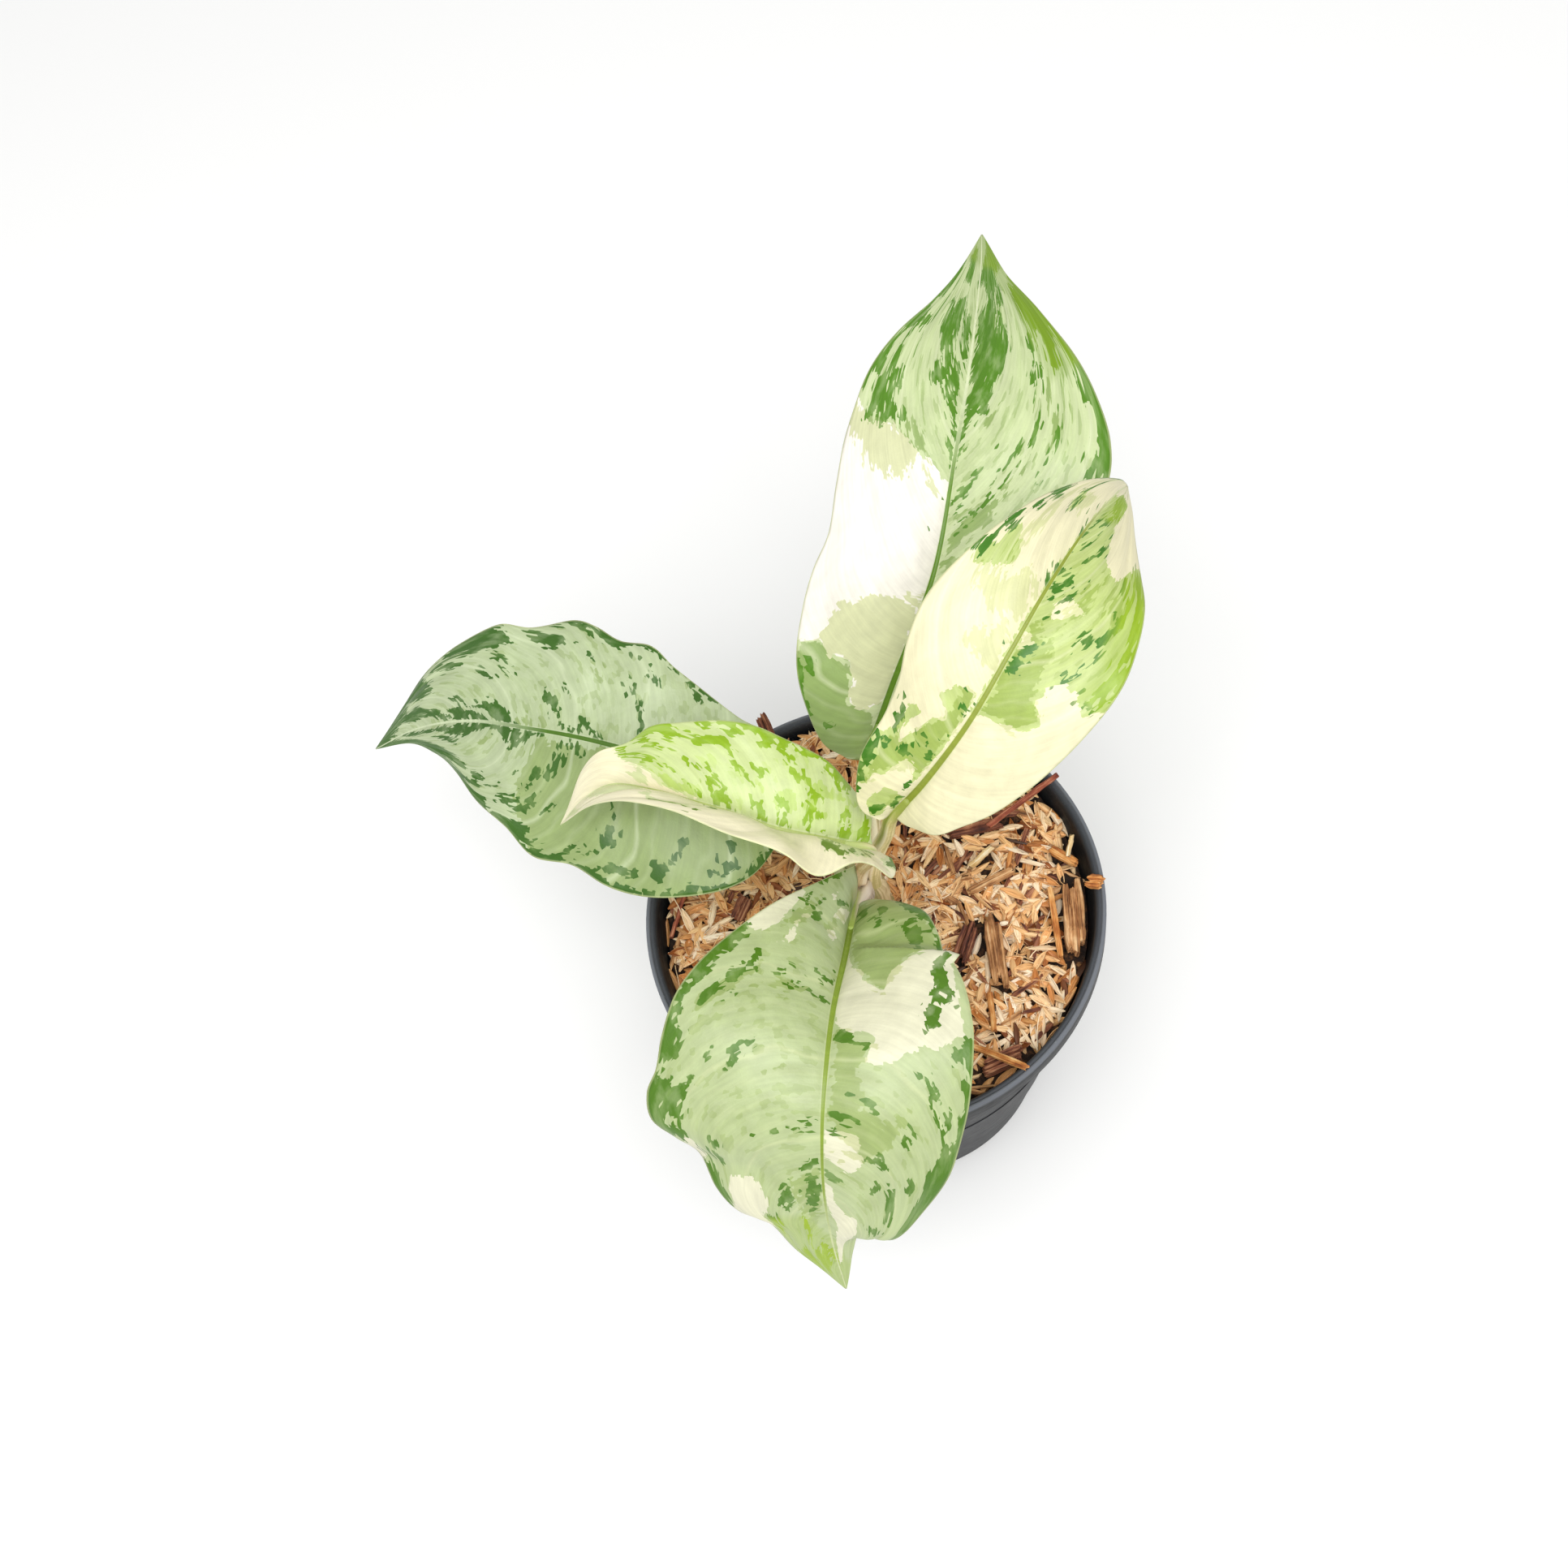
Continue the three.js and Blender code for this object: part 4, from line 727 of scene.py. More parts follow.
def join(whole, *parts):
    """Makes parts one mesh with the whole."""
    clear_selection()
    for piece in (*parts, whole):
        piece.select_set(True)
    bpy.context.view_layer.objects.active = whole
    bpy.ops.object.join()


def ring_tube(name, sides, stations):
    """A closed tube between 0 and 1: the piece, each corner's angle and share of the way, and which of
    them lie on the wall, not in the middle of an end."""
    piece = begin(
        name, bpy.ops.mesh.primitive_cylinder_add,
        vertices=sides, radius=1, depth=1, end_fill_type="NGON",
    )
    bpy.ops.object.mode_set(mode="EDIT")
    bpy.ops.mesh.select_mode(type="EDGE")
    bpy.ops.mesh.select_all(action="DESELECT")
    mesh = bmesh.from_edit_mesh(piece.data)
    for edge in mesh.edges:
        low, high = (corner.co.z for corner in edge.verts)
        edge.select_set(abs(low - high) > 0.5)
    bmesh.update_edit_mesh(piece.data)
    bpy.ops.mesh.subdivide(number_cuts=stations - 2)
    bpy.ops.object.mode_set(mode="OBJECT")
    at = corners(piece)
    return piece, np.arctan2(at[:, 1], at[:, 0]), at[:, 2] + 0.5, np.hypot(at[:, 0], at[:, 1]) > 0.5


def block(name, cuts):
    """A cube cut into small faces: gives the piece and each corner's place between -1 and 1."""
    piece = begin(name, bpy.ops.mesh.primitive_cube_add, size=2)
    bpy.ops.object.mode_set(mode="EDIT")
    bpy.ops.mesh.select_all(action="SELECT")
    bpy.ops.mesh.subdivide(number_cuts=cuts)
    bpy.ops.object.mode_set(mode="OBJECT")
    return piece, corners(piece)


def wavy(points, period, seed=0.0):
    """Soft noise at each point, about -1 to 1, with one bump in each period."""
    places = [(x / period + seed, y / period, z / period) for x, y, z in points]
    return np.array([noise.noise(place) for place in places]) * 1.8


def cross_frame(centres, facing):
    """Tangent, a direction square to it that looks the given way, and the third direction."""
    along = np.gradient(centres, axis=0)
    along /= np.linalg.norm(along, axis=1)[:, None]
    face = np.asarray(facing, float) - along * (along @ np.asarray(facing, float))[:, None]
    face /= np.linalg.norm(face, axis=1)[:, None]
    return along, face, np.cross(along, face)


def wall_radius(height):
    top = RIM_RADIUS - RIM_WIDTH + POT_WALL
    return BASE_RADIUS + (top - BASE_RADIUS) * (height - BASE_EDGE) / (POT_HEIGHT - BASE_EDGE)


def bed_height(x, y):
    high, long = BED_WAVE
    slope = BED_SURFACE + BED_RISE * smooth(y, BED_RISE_FROM, BED_RISE_TO)
    return slope + high * np.sin(x / long) * np.cos(y / long)


# Materials.


def linear_of(colour):
    """A colour property, which already holds light values, with its alpha."""
    return (*colour, 1)


def plastic_finish(settings):
    """Black polypropylene, injection moulded: a satin sheen, pale dust on the rim, a grey outer rim edge
    that is partly handling wear and partly a painted reflection, fine rubbed marks.
    """
    finish, tree, shader = new_finish("black_polypropylene")
    place = add_node(tree, "TexCoord").outputs["Object"]
    dust = add_node(tree, "TexNoise", Vector=place, Scale=1400, Detail=3, Roughness=0.7)
    drift = add_node(tree, "TexNoise", Vector=place, Scale=55, Detail=3)
    specks = add_node(tree, "MapRange", _0=dust, _1=0.64, _2=0.74, _3=0.0, _4=0.8)
    clouds = add_node(tree, "MapRange", _0=drift, _1=0.4, _2=0.75, _3=0.1, _4=1.0)
    grime = add_node(tree, "Math", PRODUCT, _0=specks, _1=clouds)
    # The outer edge of the rim greys most, and the skirt below it less: partly wear from handling, partly a
    # painted grey reflection of the bright room.
    axes = add_node(tree, "SeparateXYZ", _0=place).outputs
    level = add_node(tree, "MapRange", _0=axes[2], _1=0.1095, _2=0.1116)
    flat = add_node(tree, "CombineXYZ", _0=axes[0], _1=axes[1])
    radius = add_node(tree, "VectorMath", {"operation": "LENGTH"}, _0=flat)
    away = radius.outputs["Value"]
    edge = add_node(tree, "MapRange", _0=away, _1=0.0628, _2=0.0644, _3=0.12, _4=0.6)
    rim_wear_and_sheen = add_node(tree, "Math", PRODUCT, _0=level, _1=edge)
    # The rim's wear and painted reflection, added to a faint film of dust.
    film_wear_and_sheen = add_node(tree, "Math", SCALED_SUM, _0=clouds, _1=0.06, _2=rim_wear_and_sheen)
    dust_wear_and_sheen = add_node(tree, "Math", {**SUM, "use_clamp": True}, _0=grime, _1=film_wear_and_sheen)
    plastic = linear_of(settings.plastic)
    colour = add_node(tree, "Mix", BLEND, _0=dust_wear_and_sheen, _6=plastic, _7=linear("#868a92"))
    # Rubbed marks run round the pot, a few tenths of a millimetre wide and drawn twice as coarse.
    stretched = add_node(tree, "Mapping", Vector=place, Scale=(220, 220, 2200))
    rubs = add_node(tree, "TexNoise", Vector=stretched, Scale=1, Detail=2)
    gloss = add_node(tree, "MapRange", _0=rubs, _1=0.35, _2=0.7, _3=0.4, _4=0.55)
    relief = add_node(tree, "Bump", Strength=0.12, Distance=0.0002, Height=rubs)
    set_inputs(
        tree, shader, Base_Color=colour, Roughness=gloss, Normal=relief, IOR=1.49, Specular_IOR_Level=0.12
    )
    return finish


def husk_finish():
    """Rice husk, dry and silica-rich: straw gold with a dull gleam, lengthwise ridges and brown tails."""
    finish, tree, shader = new_finish("dry_rice_husk")
    lay = add_node(tree, "Attribute", {"attribute_name": "lay"}).outputs["Vector"]
    tint = add_node(tree, "Attribute", {"attribute_name": "tint"})
    base = add_node(
        tree, "ValToRGB", _0=tint.outputs["Fac"],
        stops=(
            (0, "#42230f"), (0.13, "#9a5626"), (0.3, "#d69352"), (0.55, "#f4c58a"), (0.78, "#fadbae"),
            (1, "#fdedd4"),
        ),
    )
    # Ridges about a quarter of a millimetre apart, drawn as coarse as the camera can part them, with
    # painted shade darkening the grooves between them.
    across = add_node(tree, "Mapping", Vector=lay, Scale=(0.1, 1.9, 1.9))
    ridges = add_node(tree, "TexNoise", Vector=across, Scale=1.4, Detail=3, Roughness=0.6)
    # Painted shade in the ridge grooves, multiplied over the husk's own colour.
    shade = add_node(
        tree, "ValToRGB", _0=ridges, stops=((0.34, "#73502f"), (0.46, "#ecdac3"), (0.56, "#ffffff"))
    )
    groove_shaded = add_node(tree, "Mix", {**BLEND, "blend_type": "MULTIPLY"}, _0=0.6, _6=base, _7=shade)
    relief = add_node(tree, "Bump", Strength=0.6, Distance=0.0003, Height=ridges)
    set_inputs(tree, shader, Base_Color=groove_shaded, Normal=relief, Roughness=0.5, IOR=1.5)
    return finish


def soil_finish():
    """Rotted coir and bark fines, crumbled: nearly black brown and rough, with lighter crumbs."""
    finish, tree, shader = new_finish("bark_fines")
    place = add_node(tree, "TexCoord").outputs["Object"]
    crumbs = add_node(tree, "TexVoronoi", Vector=place, Scale=700)
    mottle = add_node(tree, "TexNoise", Vector=place, Scale=420, Detail=4, Roughness=0.7)
    colour = add_node(
        tree, "ValToRGB", _0=mottle,
        stops=((0.3, "#0e0805"), (0.5, "#2b1a10"), (0.62, "#5a3a22"), (0.74, "#94683c")),
    )
    relief = add_node(tree, "Bump", Strength=0.9, Distance=0.0008, Height=crumbs)
    set_inputs(tree, shader, Base_Color=colour, Normal=relief, Roughness=0.95)
    return finish


def wood_finish(name, dark, middle, light, pale):
    """Split wood or bark with open grain: matt, with long fine streaks and lighter raised fibres."""
    finish, tree, shader = new_finish(name)
    lay = add_node(tree, "Attribute", {"attribute_name": "lay"}).outputs["Vector"]
    # Grain lines about 0.4 mm apart that run the length of the piece.
    grain = add_node(tree, "Mapping", Vector=lay, Scale=(0.05, 1.0, 1.0))
    fibres = add_node(tree, "TexNoise", Vector=grain, Scale=1.3, Detail=5, Roughness=0.65)
    patches = add_node(tree, "TexNoise", Vector=lay, Scale=0.22, Detail=3)
    shift = add_node(tree, "Math", SCALED_SUM, _0=patches, _1=0.5, _2=-0.25)
    tone = add_node(tree, "Math", SUM, _0=fibres, _1=shift)
    colour = add_node(
        tree, "ValToRGB", _0=tone, stops=((0.27, dark), (0.4, middle), (0.53, light), (0.68, pale))
    )
    relief = add_node(tree, "Bump", Strength=0.9, Distance=0.0007, Height=fibres)
    set_inputs(tree, shader, Base_Color=colour, Normal=relief, Roughness=0.78, IOR=1.5)
    return finish


def under_light(colour, light):
    """The leaf's own colour, from the one that the eye sees when light falls on it and its skin gleams."""
    seen = np.array(linear(colour)[:3])
    return (*np.clip((seen - GLEAM) / light, 0.004, 0.93), 1.0)


def leaf_finish(name, palette, light, veins, fade, under=False):
    """Aroid leaf, a waxed skin over soft green: crisp blotches built of skin cells, with a satin gloss.

    The veins draw pale lines, the midrib turns from green to pale where fade says, and the underside is
    the same leaf seen through a paler, duller skin.
    """
    own = [under_light(colour, light) for colour in palette]
    pale, half, dark, cream, cream_half, vein, rib, fresh = own
    finish, tree, shader = new_finish(name)
    lay = add_node(tree, "Attribute", {"attribute_name": "lay"}).outputs["Vector"]
    blotch = add_node(tree, "Attribute", {"attribute_name": "blotch"})
    fields = add_node(tree, "SeparateColor", _0=blotch.outputs["Color"]).outputs
    shares = add_node(tree, "Attribute", {"attribute_name": "shares"})
    share = add_node(tree, "SeparateXYZ", _0=shares.outputs["Vector"]).outputs

    # Skin cells, about a millimetre wide and twice as long, lie along the veins. Each shifts the edge of
    # a blotch its own way; a few leave a pale hole or a stray fleck.
    drawn = add_node(tree, "Mapping", Vector=lay, Scale=(1.15, 0.5, 1))
    cells = add_node(tree, "TexVoronoi", {"voronoi_dimensions": "2D"}, Vector=drawn, Scale=1)
    cell = add_node(tree, "SeparateColor", _0=cells.outputs["Color"]).outputs
    ragged = add_node(tree, "TexNoise", FLAT, Vector=cells.outputs["Position"], Scale=0.33, Detail=2)
    sway = add_node(tree, "Math", SCALED_SUM, _0=ragged, _1=6.0, _2=-3.4)
    jag = add_node(tree, "Math", SCALED_SUM, _0=cell[0], _1=0.8, _2=sway)
    hole = add_node(tree, "MapRange", _0=cell[1], _1=0.9, _2=0.905, _3=0.0, _4=-2.6)
    fleck = add_node(tree, "MapRange", _0=cell[2], _1=0.955, _2=0.96, _3=0.0, _4=1.9)
    holed = add_node(tree, "Math", SUM, _0=jag, _1=hole)
    flecked = add_node(tree, "Math", SUM, _0=holed, _1=fleck)
    dark_depth = add_node(tree, "Math", SUM, _0=fields[0], _1=flecked)
    edge_dark = add_node(tree, "MapRange", _0=dark_depth, _1=-0.07, _2=0.07)
    cream_depth = add_node(tree, "Math", SCALED_SUM, _0=jag, _1=0.6, _2=fields[1])
    edge_cream = add_node(tree, "MapRange", _0=cream_depth, _1=-0.07, _2=0.07)
    half_depth = add_node(tree, "Math", SCALED_SUM, _0=jag, _1=1.5, _2=fields[2])
    edge_half = add_node(tree, "MapRange", _0=half_depth, _1=-0.2, _2=0.2, _3=0.0, _4=0.85)

    # Flecks of the middle tone lie anywhere in the green, and the blade deepens a little between its veins:
    # partly its own deeper green, partly painted shade of the quilting.
    toned = add_node(tree, "MapRange", _0=ragged, _1=0.6, _2=0.61, _3=0.0, _4=0.4)
    halved = add_node(tree, "Math", {"operation": "MAXIMUM"}, _0=edge_half, _1=toned)
    green = add_node(tree, "Mix", BLEND, _0=halved, _6=pale, _7=half)
    # A side vein lies where the vein number passes a whole one, with three finer ones between.
    wobble = add_node(tree, "TexNoise", FLAT, Vector=lay, Scale=0.06, Detail=1)
    number = add_node(tree, "Math", SCALED_SUM, _0=wobble, _1=0.3, _2=share[2])
    beside = add_node(tree, "Math", FOLD, _0=number, _1=0.5)
    quarter = add_node(tree, "Math", PRODUCT, _0=number, _1=4.0)
    finer = add_node(tree, "Math", FOLD, _0=quarter, _1=0.5)
    # Painted shade of the quilting, over the blade's own deeper green between its veins.
    valley = add_node(tree, "MapRange", _0=beside, _1=0.05, _2=0.45, _3=0.0, _4=0.4)
    patchy = add_node(tree, "MapRange", _0=ragged, _1=0.3, _2=0.7)
    deeper = add_node(tree, "Math", PRODUCT, _0=valley, _1=patchy)
    shaded = add_node(tree, "Mix", BLEND, _0=deeper, _6=green, _7=half)
    fine_line = add_node(tree, "MapRange", _0=finer, _1=0.2, _2=0.0, _3=0.0, _4=0.16)
    fine_veined = add_node(tree, "Mix", BLEND, _0=fine_line, _6=shaded, _7=vein)
    vein_line = add_node(tree, "MapRange", _0=beside, _1=0.05, _2=0.005, _3=0.0, _4=0.4)
    veined = add_node(tree, "Mix", BLEND, _0=vein_line, _6=fine_veined, _7=vein)

    # Young tips and margins are fresher green; the part with no green lies over that.
    young = add_node(tree, "MapRange", _0=blotch.outputs["Alpha"], _1=-1.2, _2=1.6)
    slightly = add_node(tree, "Math", PRODUCT, _0=young, _1=0.32)
    lively = add_node(tree, "Mix", BLEND, _0=slightly, _6=veined, _7=fresh)
    creamy = add_node(tree, "Mix", BLEND, _0=edge_half, _6=cream, _7=cream_half)
    parted = add_node(tree, "Mix", BLEND, _0=edge_cream, _6=lively, _7=creamy)
    # The deep blotches clear in places to a thinner green.
    cloud = add_node(tree, "TexNoise", FLAT, Vector=lay, Scale=0.2, Detail=3)
    thin = add_node(tree, "MapRange", _0=cloud, _1=0.45, _2=0.68, _3=1.0, _4=0.72)
    cover = add_node(tree, "Math", PRODUCT, _0=edge_dark, _1=thin)
    deep = add_node(tree, "Mix", BLEND, _0=young, _6=dark, _7=fresh)
    blotched = add_node(tree, "Mix", BLEND, _0=cover, _6=parted, _7=deep)

    # The midrib, edged by a paler line, and the thin pale line of the margin.
    turn = add_node(tree, "MapRange", _0=number, _1=fade[0] * veins, _2=fade[1] * veins)
    ribbed = add_node(tree, "Mix", BLEND, _0=turn, _6=rib, _7=vein)
    hem = add_node(tree, "MapRange", _0=share[1], _1=1.5, _2=1.2, _3=0.0, _4=0.4)
    hemmed = add_node(tree, "Mix", BLEND, _0=hem, _6=blotched, _7=vein)
    on_rib = add_node(tree, "MapRange", _0=share[1], _1=1.0, _2=0.75)
    with_rib = add_node(tree, "Mix", BLEND, _0=on_rib, _6=hemmed, _7=ribbed)
    margin = add_node(tree, "MapRange", _0=share[0], _1=0.986, _2=0.993, _3=0.0, _4=0.6)
    edged = add_node(tree, "Mix", BLEND, _0=margin, _6=with_rib, _7=linear("#c4cd92"))

    # Fine streaks along the side veins, about a millimetre wide, and slow clouds of light and shade.
    streak = add_node(tree, "Mapping", Vector=lay, Scale=(0.9, 0.05, 1))
    streaks = add_node(tree, "TexNoise", FLAT, Vector=streak, Scale=1, Detail=3, Roughness=0.6)
    fine_light = add_node(tree, "MapRange", _0=streaks, _1=0.3, _2=0.7, _3=0.93, _4=1.05)
    slow_light = add_node(tree, "MapRange", _0=cloud, _1=0.3, _2=0.7, _3=0.94, _4=1.04)
    lit = add_node(tree, "Math", PRODUCT, _0=fine_light, _1=slow_light)
    colour = add_node(tree, "VectorMath", {"operation": "SCALE"}, _0=edged, Scale=lit)
    if under:
        colour = add_node(tree, "Mix", BLEND, _0=0.45, _6=colour, _7=linear("#b3bf94"))
    place = add_node(tree, "TexCoord").outputs["Object"]
    skin = add_node(tree, "TexNoise", Vector=place, Scale=1500, Detail=2)
    bumps = add_node(tree, "Math", SCALED_SUM, _0=streaks, _1=0.5, _2=skin)
    relief = add_node(tree, "Bump", Strength=0.25, Distance=0.0002, Height=bumps)
    set_inputs(
        tree, shader, Base_Color=colour, Normal=relief, Roughness=0.6 if under else 0.42, IOR=1.42,
        Coat_Weight=0.0 if under else 0.1, Coat_Roughness=0.25,
    )
    return finish


def stalk_finish(name, light, middle, dark, groove):
    """Aroid stalk and sheath, fleshy with a waxed skin: long soft streaks, and a groove down one side."""
    finish, tree, shader = new_finish(name)
    lay = add_node(tree, "Attribute", {"attribute_name": "lay"}).outputs["Vector"]
    tint = add_node(tree, "Attribute", {"attribute_name": "tint"})
    long = add_node(tree, "Mapping", Vector=lay, Scale=(0.018, 0.42, 0.42))
    streaks = add_node(tree, "TexNoise", Vector=long, Scale=1.2, Detail=3, Roughness=0.6)
    freckles = add_node(tree, "TexNoise", Vector=lay, Scale=0.7, Detail=2)
    tone = add_node(tree, "Math", SCALED_SUM, _0=freckles, _1=0.15, _2=streaks)
    skin = add_node(tree, "ValToRGB", _0=tone, stops=((0.44, dark), (0.54, middle), (0.64, light)))
    colour = add_node(tree, "Mix", BLEND, _0=tint.outputs["Fac"], _6=skin, _7=linear(groove))
    relief = add_node(tree, "Bump", Strength=0.3, Distance=0.0003, Height=streaks)
    set_inputs(tree, shader, Base_Color=colour, Normal=relief, Roughness=0.5, IOR=1.42)
    return finish


class EvergreenPot(bpy.types.PropertyGroup):
    """Look of the pot."""

    plastic: FloatVectorProperty(
        name="Plastic", description="Colour of the moulded plastic", subtype="COLOR",
        default=linear("#17181a")[:3],
    )
    scallop: FloatProperty(
        name="Step", description="Depth of the moulded steps in the wall", default=0.3 * MM, unit="LENGTH"
    )


class EvergreenBed(bpy.types.PropertyGroup):
    """How much lies in the bed, and how long a husk is."""

    husks: IntProperty(
        name="Husks", description="Number of rice husks on the bed", default=2700, min=100
    )
    splinters: IntProperty(
        name="Splinters", description="Number of straws and wood splinters", default=620, min=0
    )
    fibres: IntProperty(name="Fibres", description="Number of thin fibres", default=150, min=0)
    husk_length: FloatProperty(
        name="Husk length", description="Length of a husk", default=8.3 * MM, unit="LENGTH"
    )
    husk_width: FloatProperty(
        name="Husk width", description="Width of a husk", default=2.15 * MM, unit="LENGTH"
    )


class EvergreenLeaf(bpy.types.PropertyGroup):
    """Thickness and relief of the blades."""

    thickness: FloatProperty(
        name="Thickness", description="Thickness of a blade", default=0.5 * MM, unit="LENGTH"
    )
    quilting: FloatProperty(
        name="Quilting", description="Height of the blade between two side veins", default=0.8 * MM,
        unit="LENGTH",
    )
    veins: IntProperty(
        name="Side veins", description="Side veins in each half of a blade", default=7, min=3
    )


class EvergreenStage(bpy.types.PropertyGroup):
    """The floor and the light."""

    floor: FloatVectorProperty(
        name="Floor", description="Colour of the floor", subtype="COLOR", default=linear("#f6f6f5")[:3]
    )
    sky: FloatProperty(
        name="Room light", description="Strength of the even light from all round", default=0.66
    )
    key: FloatProperty(
        name="Window light", description="Power of the large soft light", default=8.5, unit="POWER"
    )
    fill: FloatProperty(
        name="Fill light", description="Power of the soft light near the camera", default=5, unit="POWER"
    )


class EVERGREEN_OT_pot(bpy.types.Operator):
    """Turns the pot: a rolled rim with its skirt, a tapered wall, and a floor with holes and grooves"""

    bl_idname = "evergreen.pot"
    bl_label = "Pot"

    def execute(self, context):
        step = context.scene.evergreen_pot.scallop / MM
        # Up the outside, round the rim and down the inside, as (radius, height).
        low, high = WALL_STEP
        heights = (3, low - 0.4, low, high, high + 0.4, 100, 110.4)
        wall = [(wall_radius(h) + step * (low <= h <= high), h) for h in heights]
        profile = [
            (6, 0), (34, 0), (43.4, 0), (44.4, 0.15), (45.2, 0.6), (45.8, 1.3), (BASE_RADIUS, BASE_EDGE),
            *wall, (63.4, 110.5), (63.9, 110.5), (64.1, 110.2), (64.1, 104.3), (64.2, 104.05), (64.5, 104),
            (64.85, 104.1), (RIM_RADIUS, 104.4), (RIM_RADIUS, 111.2), (64.9, 111.6), (64.65, 111.9),
            (64.35, 112), (64, 111.95), (63.8, 111.75), (63.68, 111.4), (63.5, 111.3), (63.32, 111.42),
            (62.95, 111.55), (62.7, 111.5), (62.45, 111.3), (62.15, 110.9),
            (wall_radius(108) - POT_WALL, 108),
        ]
        profile += [(wall_radius(h) - POT_WALL, h) for h in (90, 60, 30, 4.5, 3)]
        profile += [(44.6, 2.2), (43.8, 1.75), (42.9, POT_FLOOR), (34, POT_FLOOR), (6, POT_FLOOR)]
        (radius, height), *rest = profile
        pot = begin(
            "nursery_pot", bpy.ops.mesh.primitive_circle_add, vertices=POT_SIDES, radius=radius * MM,
            location=(0, 0, height * MM),
        )
        bpy.ops.object.transform_apply(location=True)
        bpy.ops.object.mode_set(mode="EDIT")
        bpy.ops.mesh.select_mode(type="EDGE")
        bpy.ops.mesh.select_all(action="SELECT")
        bpy.ops.mesh.edge_face_add()
        bpy.ops.mesh.select_all(action="SELECT")
        bpy.ops.mesh.extrude_region_move(TRANSFORM_OT_translate={"value": (0, 0, 0)})
        for next_radius, next_height in rest:
            share = next_radius / radius
            bpy.ops.transform.resize(value=(share, share, 1), center_override=(0, 0, 0))
            bpy.ops.transform.translate(value=(0, 0, (next_height - height) * MM))
            if (next_radius, next_height) != rest[-1]:
                bpy.ops.mesh.extrude_region_move(TRANSFORM_OT_translate={"value": (0, 0, 0)})
            radius, height = next_radius, next_height
        bpy.ops.object.mode_set(mode="OBJECT")
        outward(merge=1e-6)
        for hole in range(DRAIN_HOLES):
            angle = (hole + 0.5) / DRAIN_HOLES * 2 * math.pi
            # Each hole has a groove from its middle to the pot's edge.
            middle, groove_at = (
                (reach * math.cos(angle) * MM, reach * math.sin(angle) * MM, 0)
                for reach in (DRAIN_CIRCLE, DRAIN_CIRCLE + GROOVE_LENGTH / 2)
            )
            drill = begin(
                "drill", bpy.ops.mesh.primitive_cylinder_add, vertices=32, radius=DRAIN_RADIUS * MM,
                depth=8 * MM, location=middle,
            )
            slot = begin(
                "cutter", bpy.ops.mesh.primitive_cube_add, size=1, location=groove_at,
                rotation=(0, 0, angle),
                scale=(GROOVE_LENGTH * MM, GROOVE[0] * MM, 2 * GROOVE[1] * MM),
            )
            for tool in (drill, slot):
                clear_selection()
                context.view_layer.objects.active = pot
                cut = pot.modifiers.new("cut", "BOOLEAN")
                cut.object = tool
                cut.operation = "DIFFERENCE"
                bpy.ops.object.modifier_apply(modifier=cut.name)
                bpy.data.objects.remove(tool)
        done(pot, "pot", "pot", plastic_finish(context.scene.evergreen_pot), angle=32)
        return {"FINISHED"}


def repeat(name, template, faces, places, tints):
    """One mesh of many copies: each place is a 3 by 3 turn, a point and a size along three axes."""
    count = len(template)
    points, lays, shades, polygons = [], [], [], []
    for index, (turn, point, size) in enumerate(places):
        local = template * size
        points.append(local @ turn.T + point)
        lay = local.copy()
        lay[:, 0] += index * 13.7
        lays.append(lay)
        shades.append(np.full(count, tints[index]))
        polygons += [tuple(index * count + corner for corner in face) for face in faces]
    mesh = bpy.data.meshes.new(name)
    mesh.from_pydata((np.vstack(points) * MM).tolist(), [], polygons)
    piece = bpy.data.objects.new(name, mesh)
    bpy.context.scene.collection.objects.link(piece)
    write_field(piece, "lay", np.vstack(lays))
    write_field(piece, "tint", np.concatenate(shades))
    return piece


def pattern_of(piece):
    """A finished pattern piece's corners in millimetres and its faces, after which it is removed."""
    template = corners(piece) / MM
    faces = [tuple(polygon.vertices) for polygon in piece.data.polygons]
    bpy.data.objects.remove(piece)
    return template, faces


def husk_pattern(settings, closed):
    """A husk as a thin pointed boat, or closed round its grain."""
    length, width = settings.husk_length / MM, settings.husk_width / MM
    if closed:
        piece, angle, share, _ = ring_tube("husk_pattern", 6, 6)
        girth = np.sin(np.pi * (0.04 + 0.92 * share)) ** 0.75
        x = (share - 0.5) * length
        y = np.cos(angle) * girth * width * 0.5
        z = np.sin(angle) * girth * width * 0.36 + 0.25 * np.cos(np.pi * (share - 0.5))
        put_corners(piece, np.stack([x, y, z], 1))
        return pattern_of(piece)
    piece = begin(
        "husk_pattern", bpy.ops.mesh.primitive_grid_add, x_subdivisions=6, y_subdivisions=4, size=2
    )
    at = corners(piece)
    along, side = at[:, 0], at[:, 1]
    girth = 0.1 + 0.9 * np.clip(np.cos(along * np.pi / 2), 0, 1) ** 0.7
    bend = side * 1.35
    x = along * length / 2 * (1 + 0.05 * (1 - side**2))
    y = np.sin(bend) * girth * width / 2
    z = (1 - np.cos(bend)) * girth * width * 0.75 + 0.6 * along**2
    put_corners(piece, np.stack([x, y, z], 1))
    shell = piece.modifiers.new("shell", "SOLIDIFY")
    shell.thickness = 0.22 * MM
    shell.offset = 0
    bpy.ops.object.modifier_apply(modifier=shell.name)
    outward()
    return pattern_of(piece)


def splinter_pattern():
    """A split straw or sliver, bent a little, with slanted broken ends."""
    piece, at = block("splinter_pattern", 2)
    x = at[:, 0] * 0.5 + 0.07 * at[:, 1] * np.abs(at[:, 0])
    y = at[:, 1] * 0.5 * (1 - 0.25 * at[:, 0] ** 2)
    z = at[:, 2] * 0.5 * (1 - 0.3 * at[:, 1] ** 2) - 0.35 * at[:, 0] ** 2
    put_corners(piece, np.stack([x, y, z], 1))
    return pattern_of(piece)


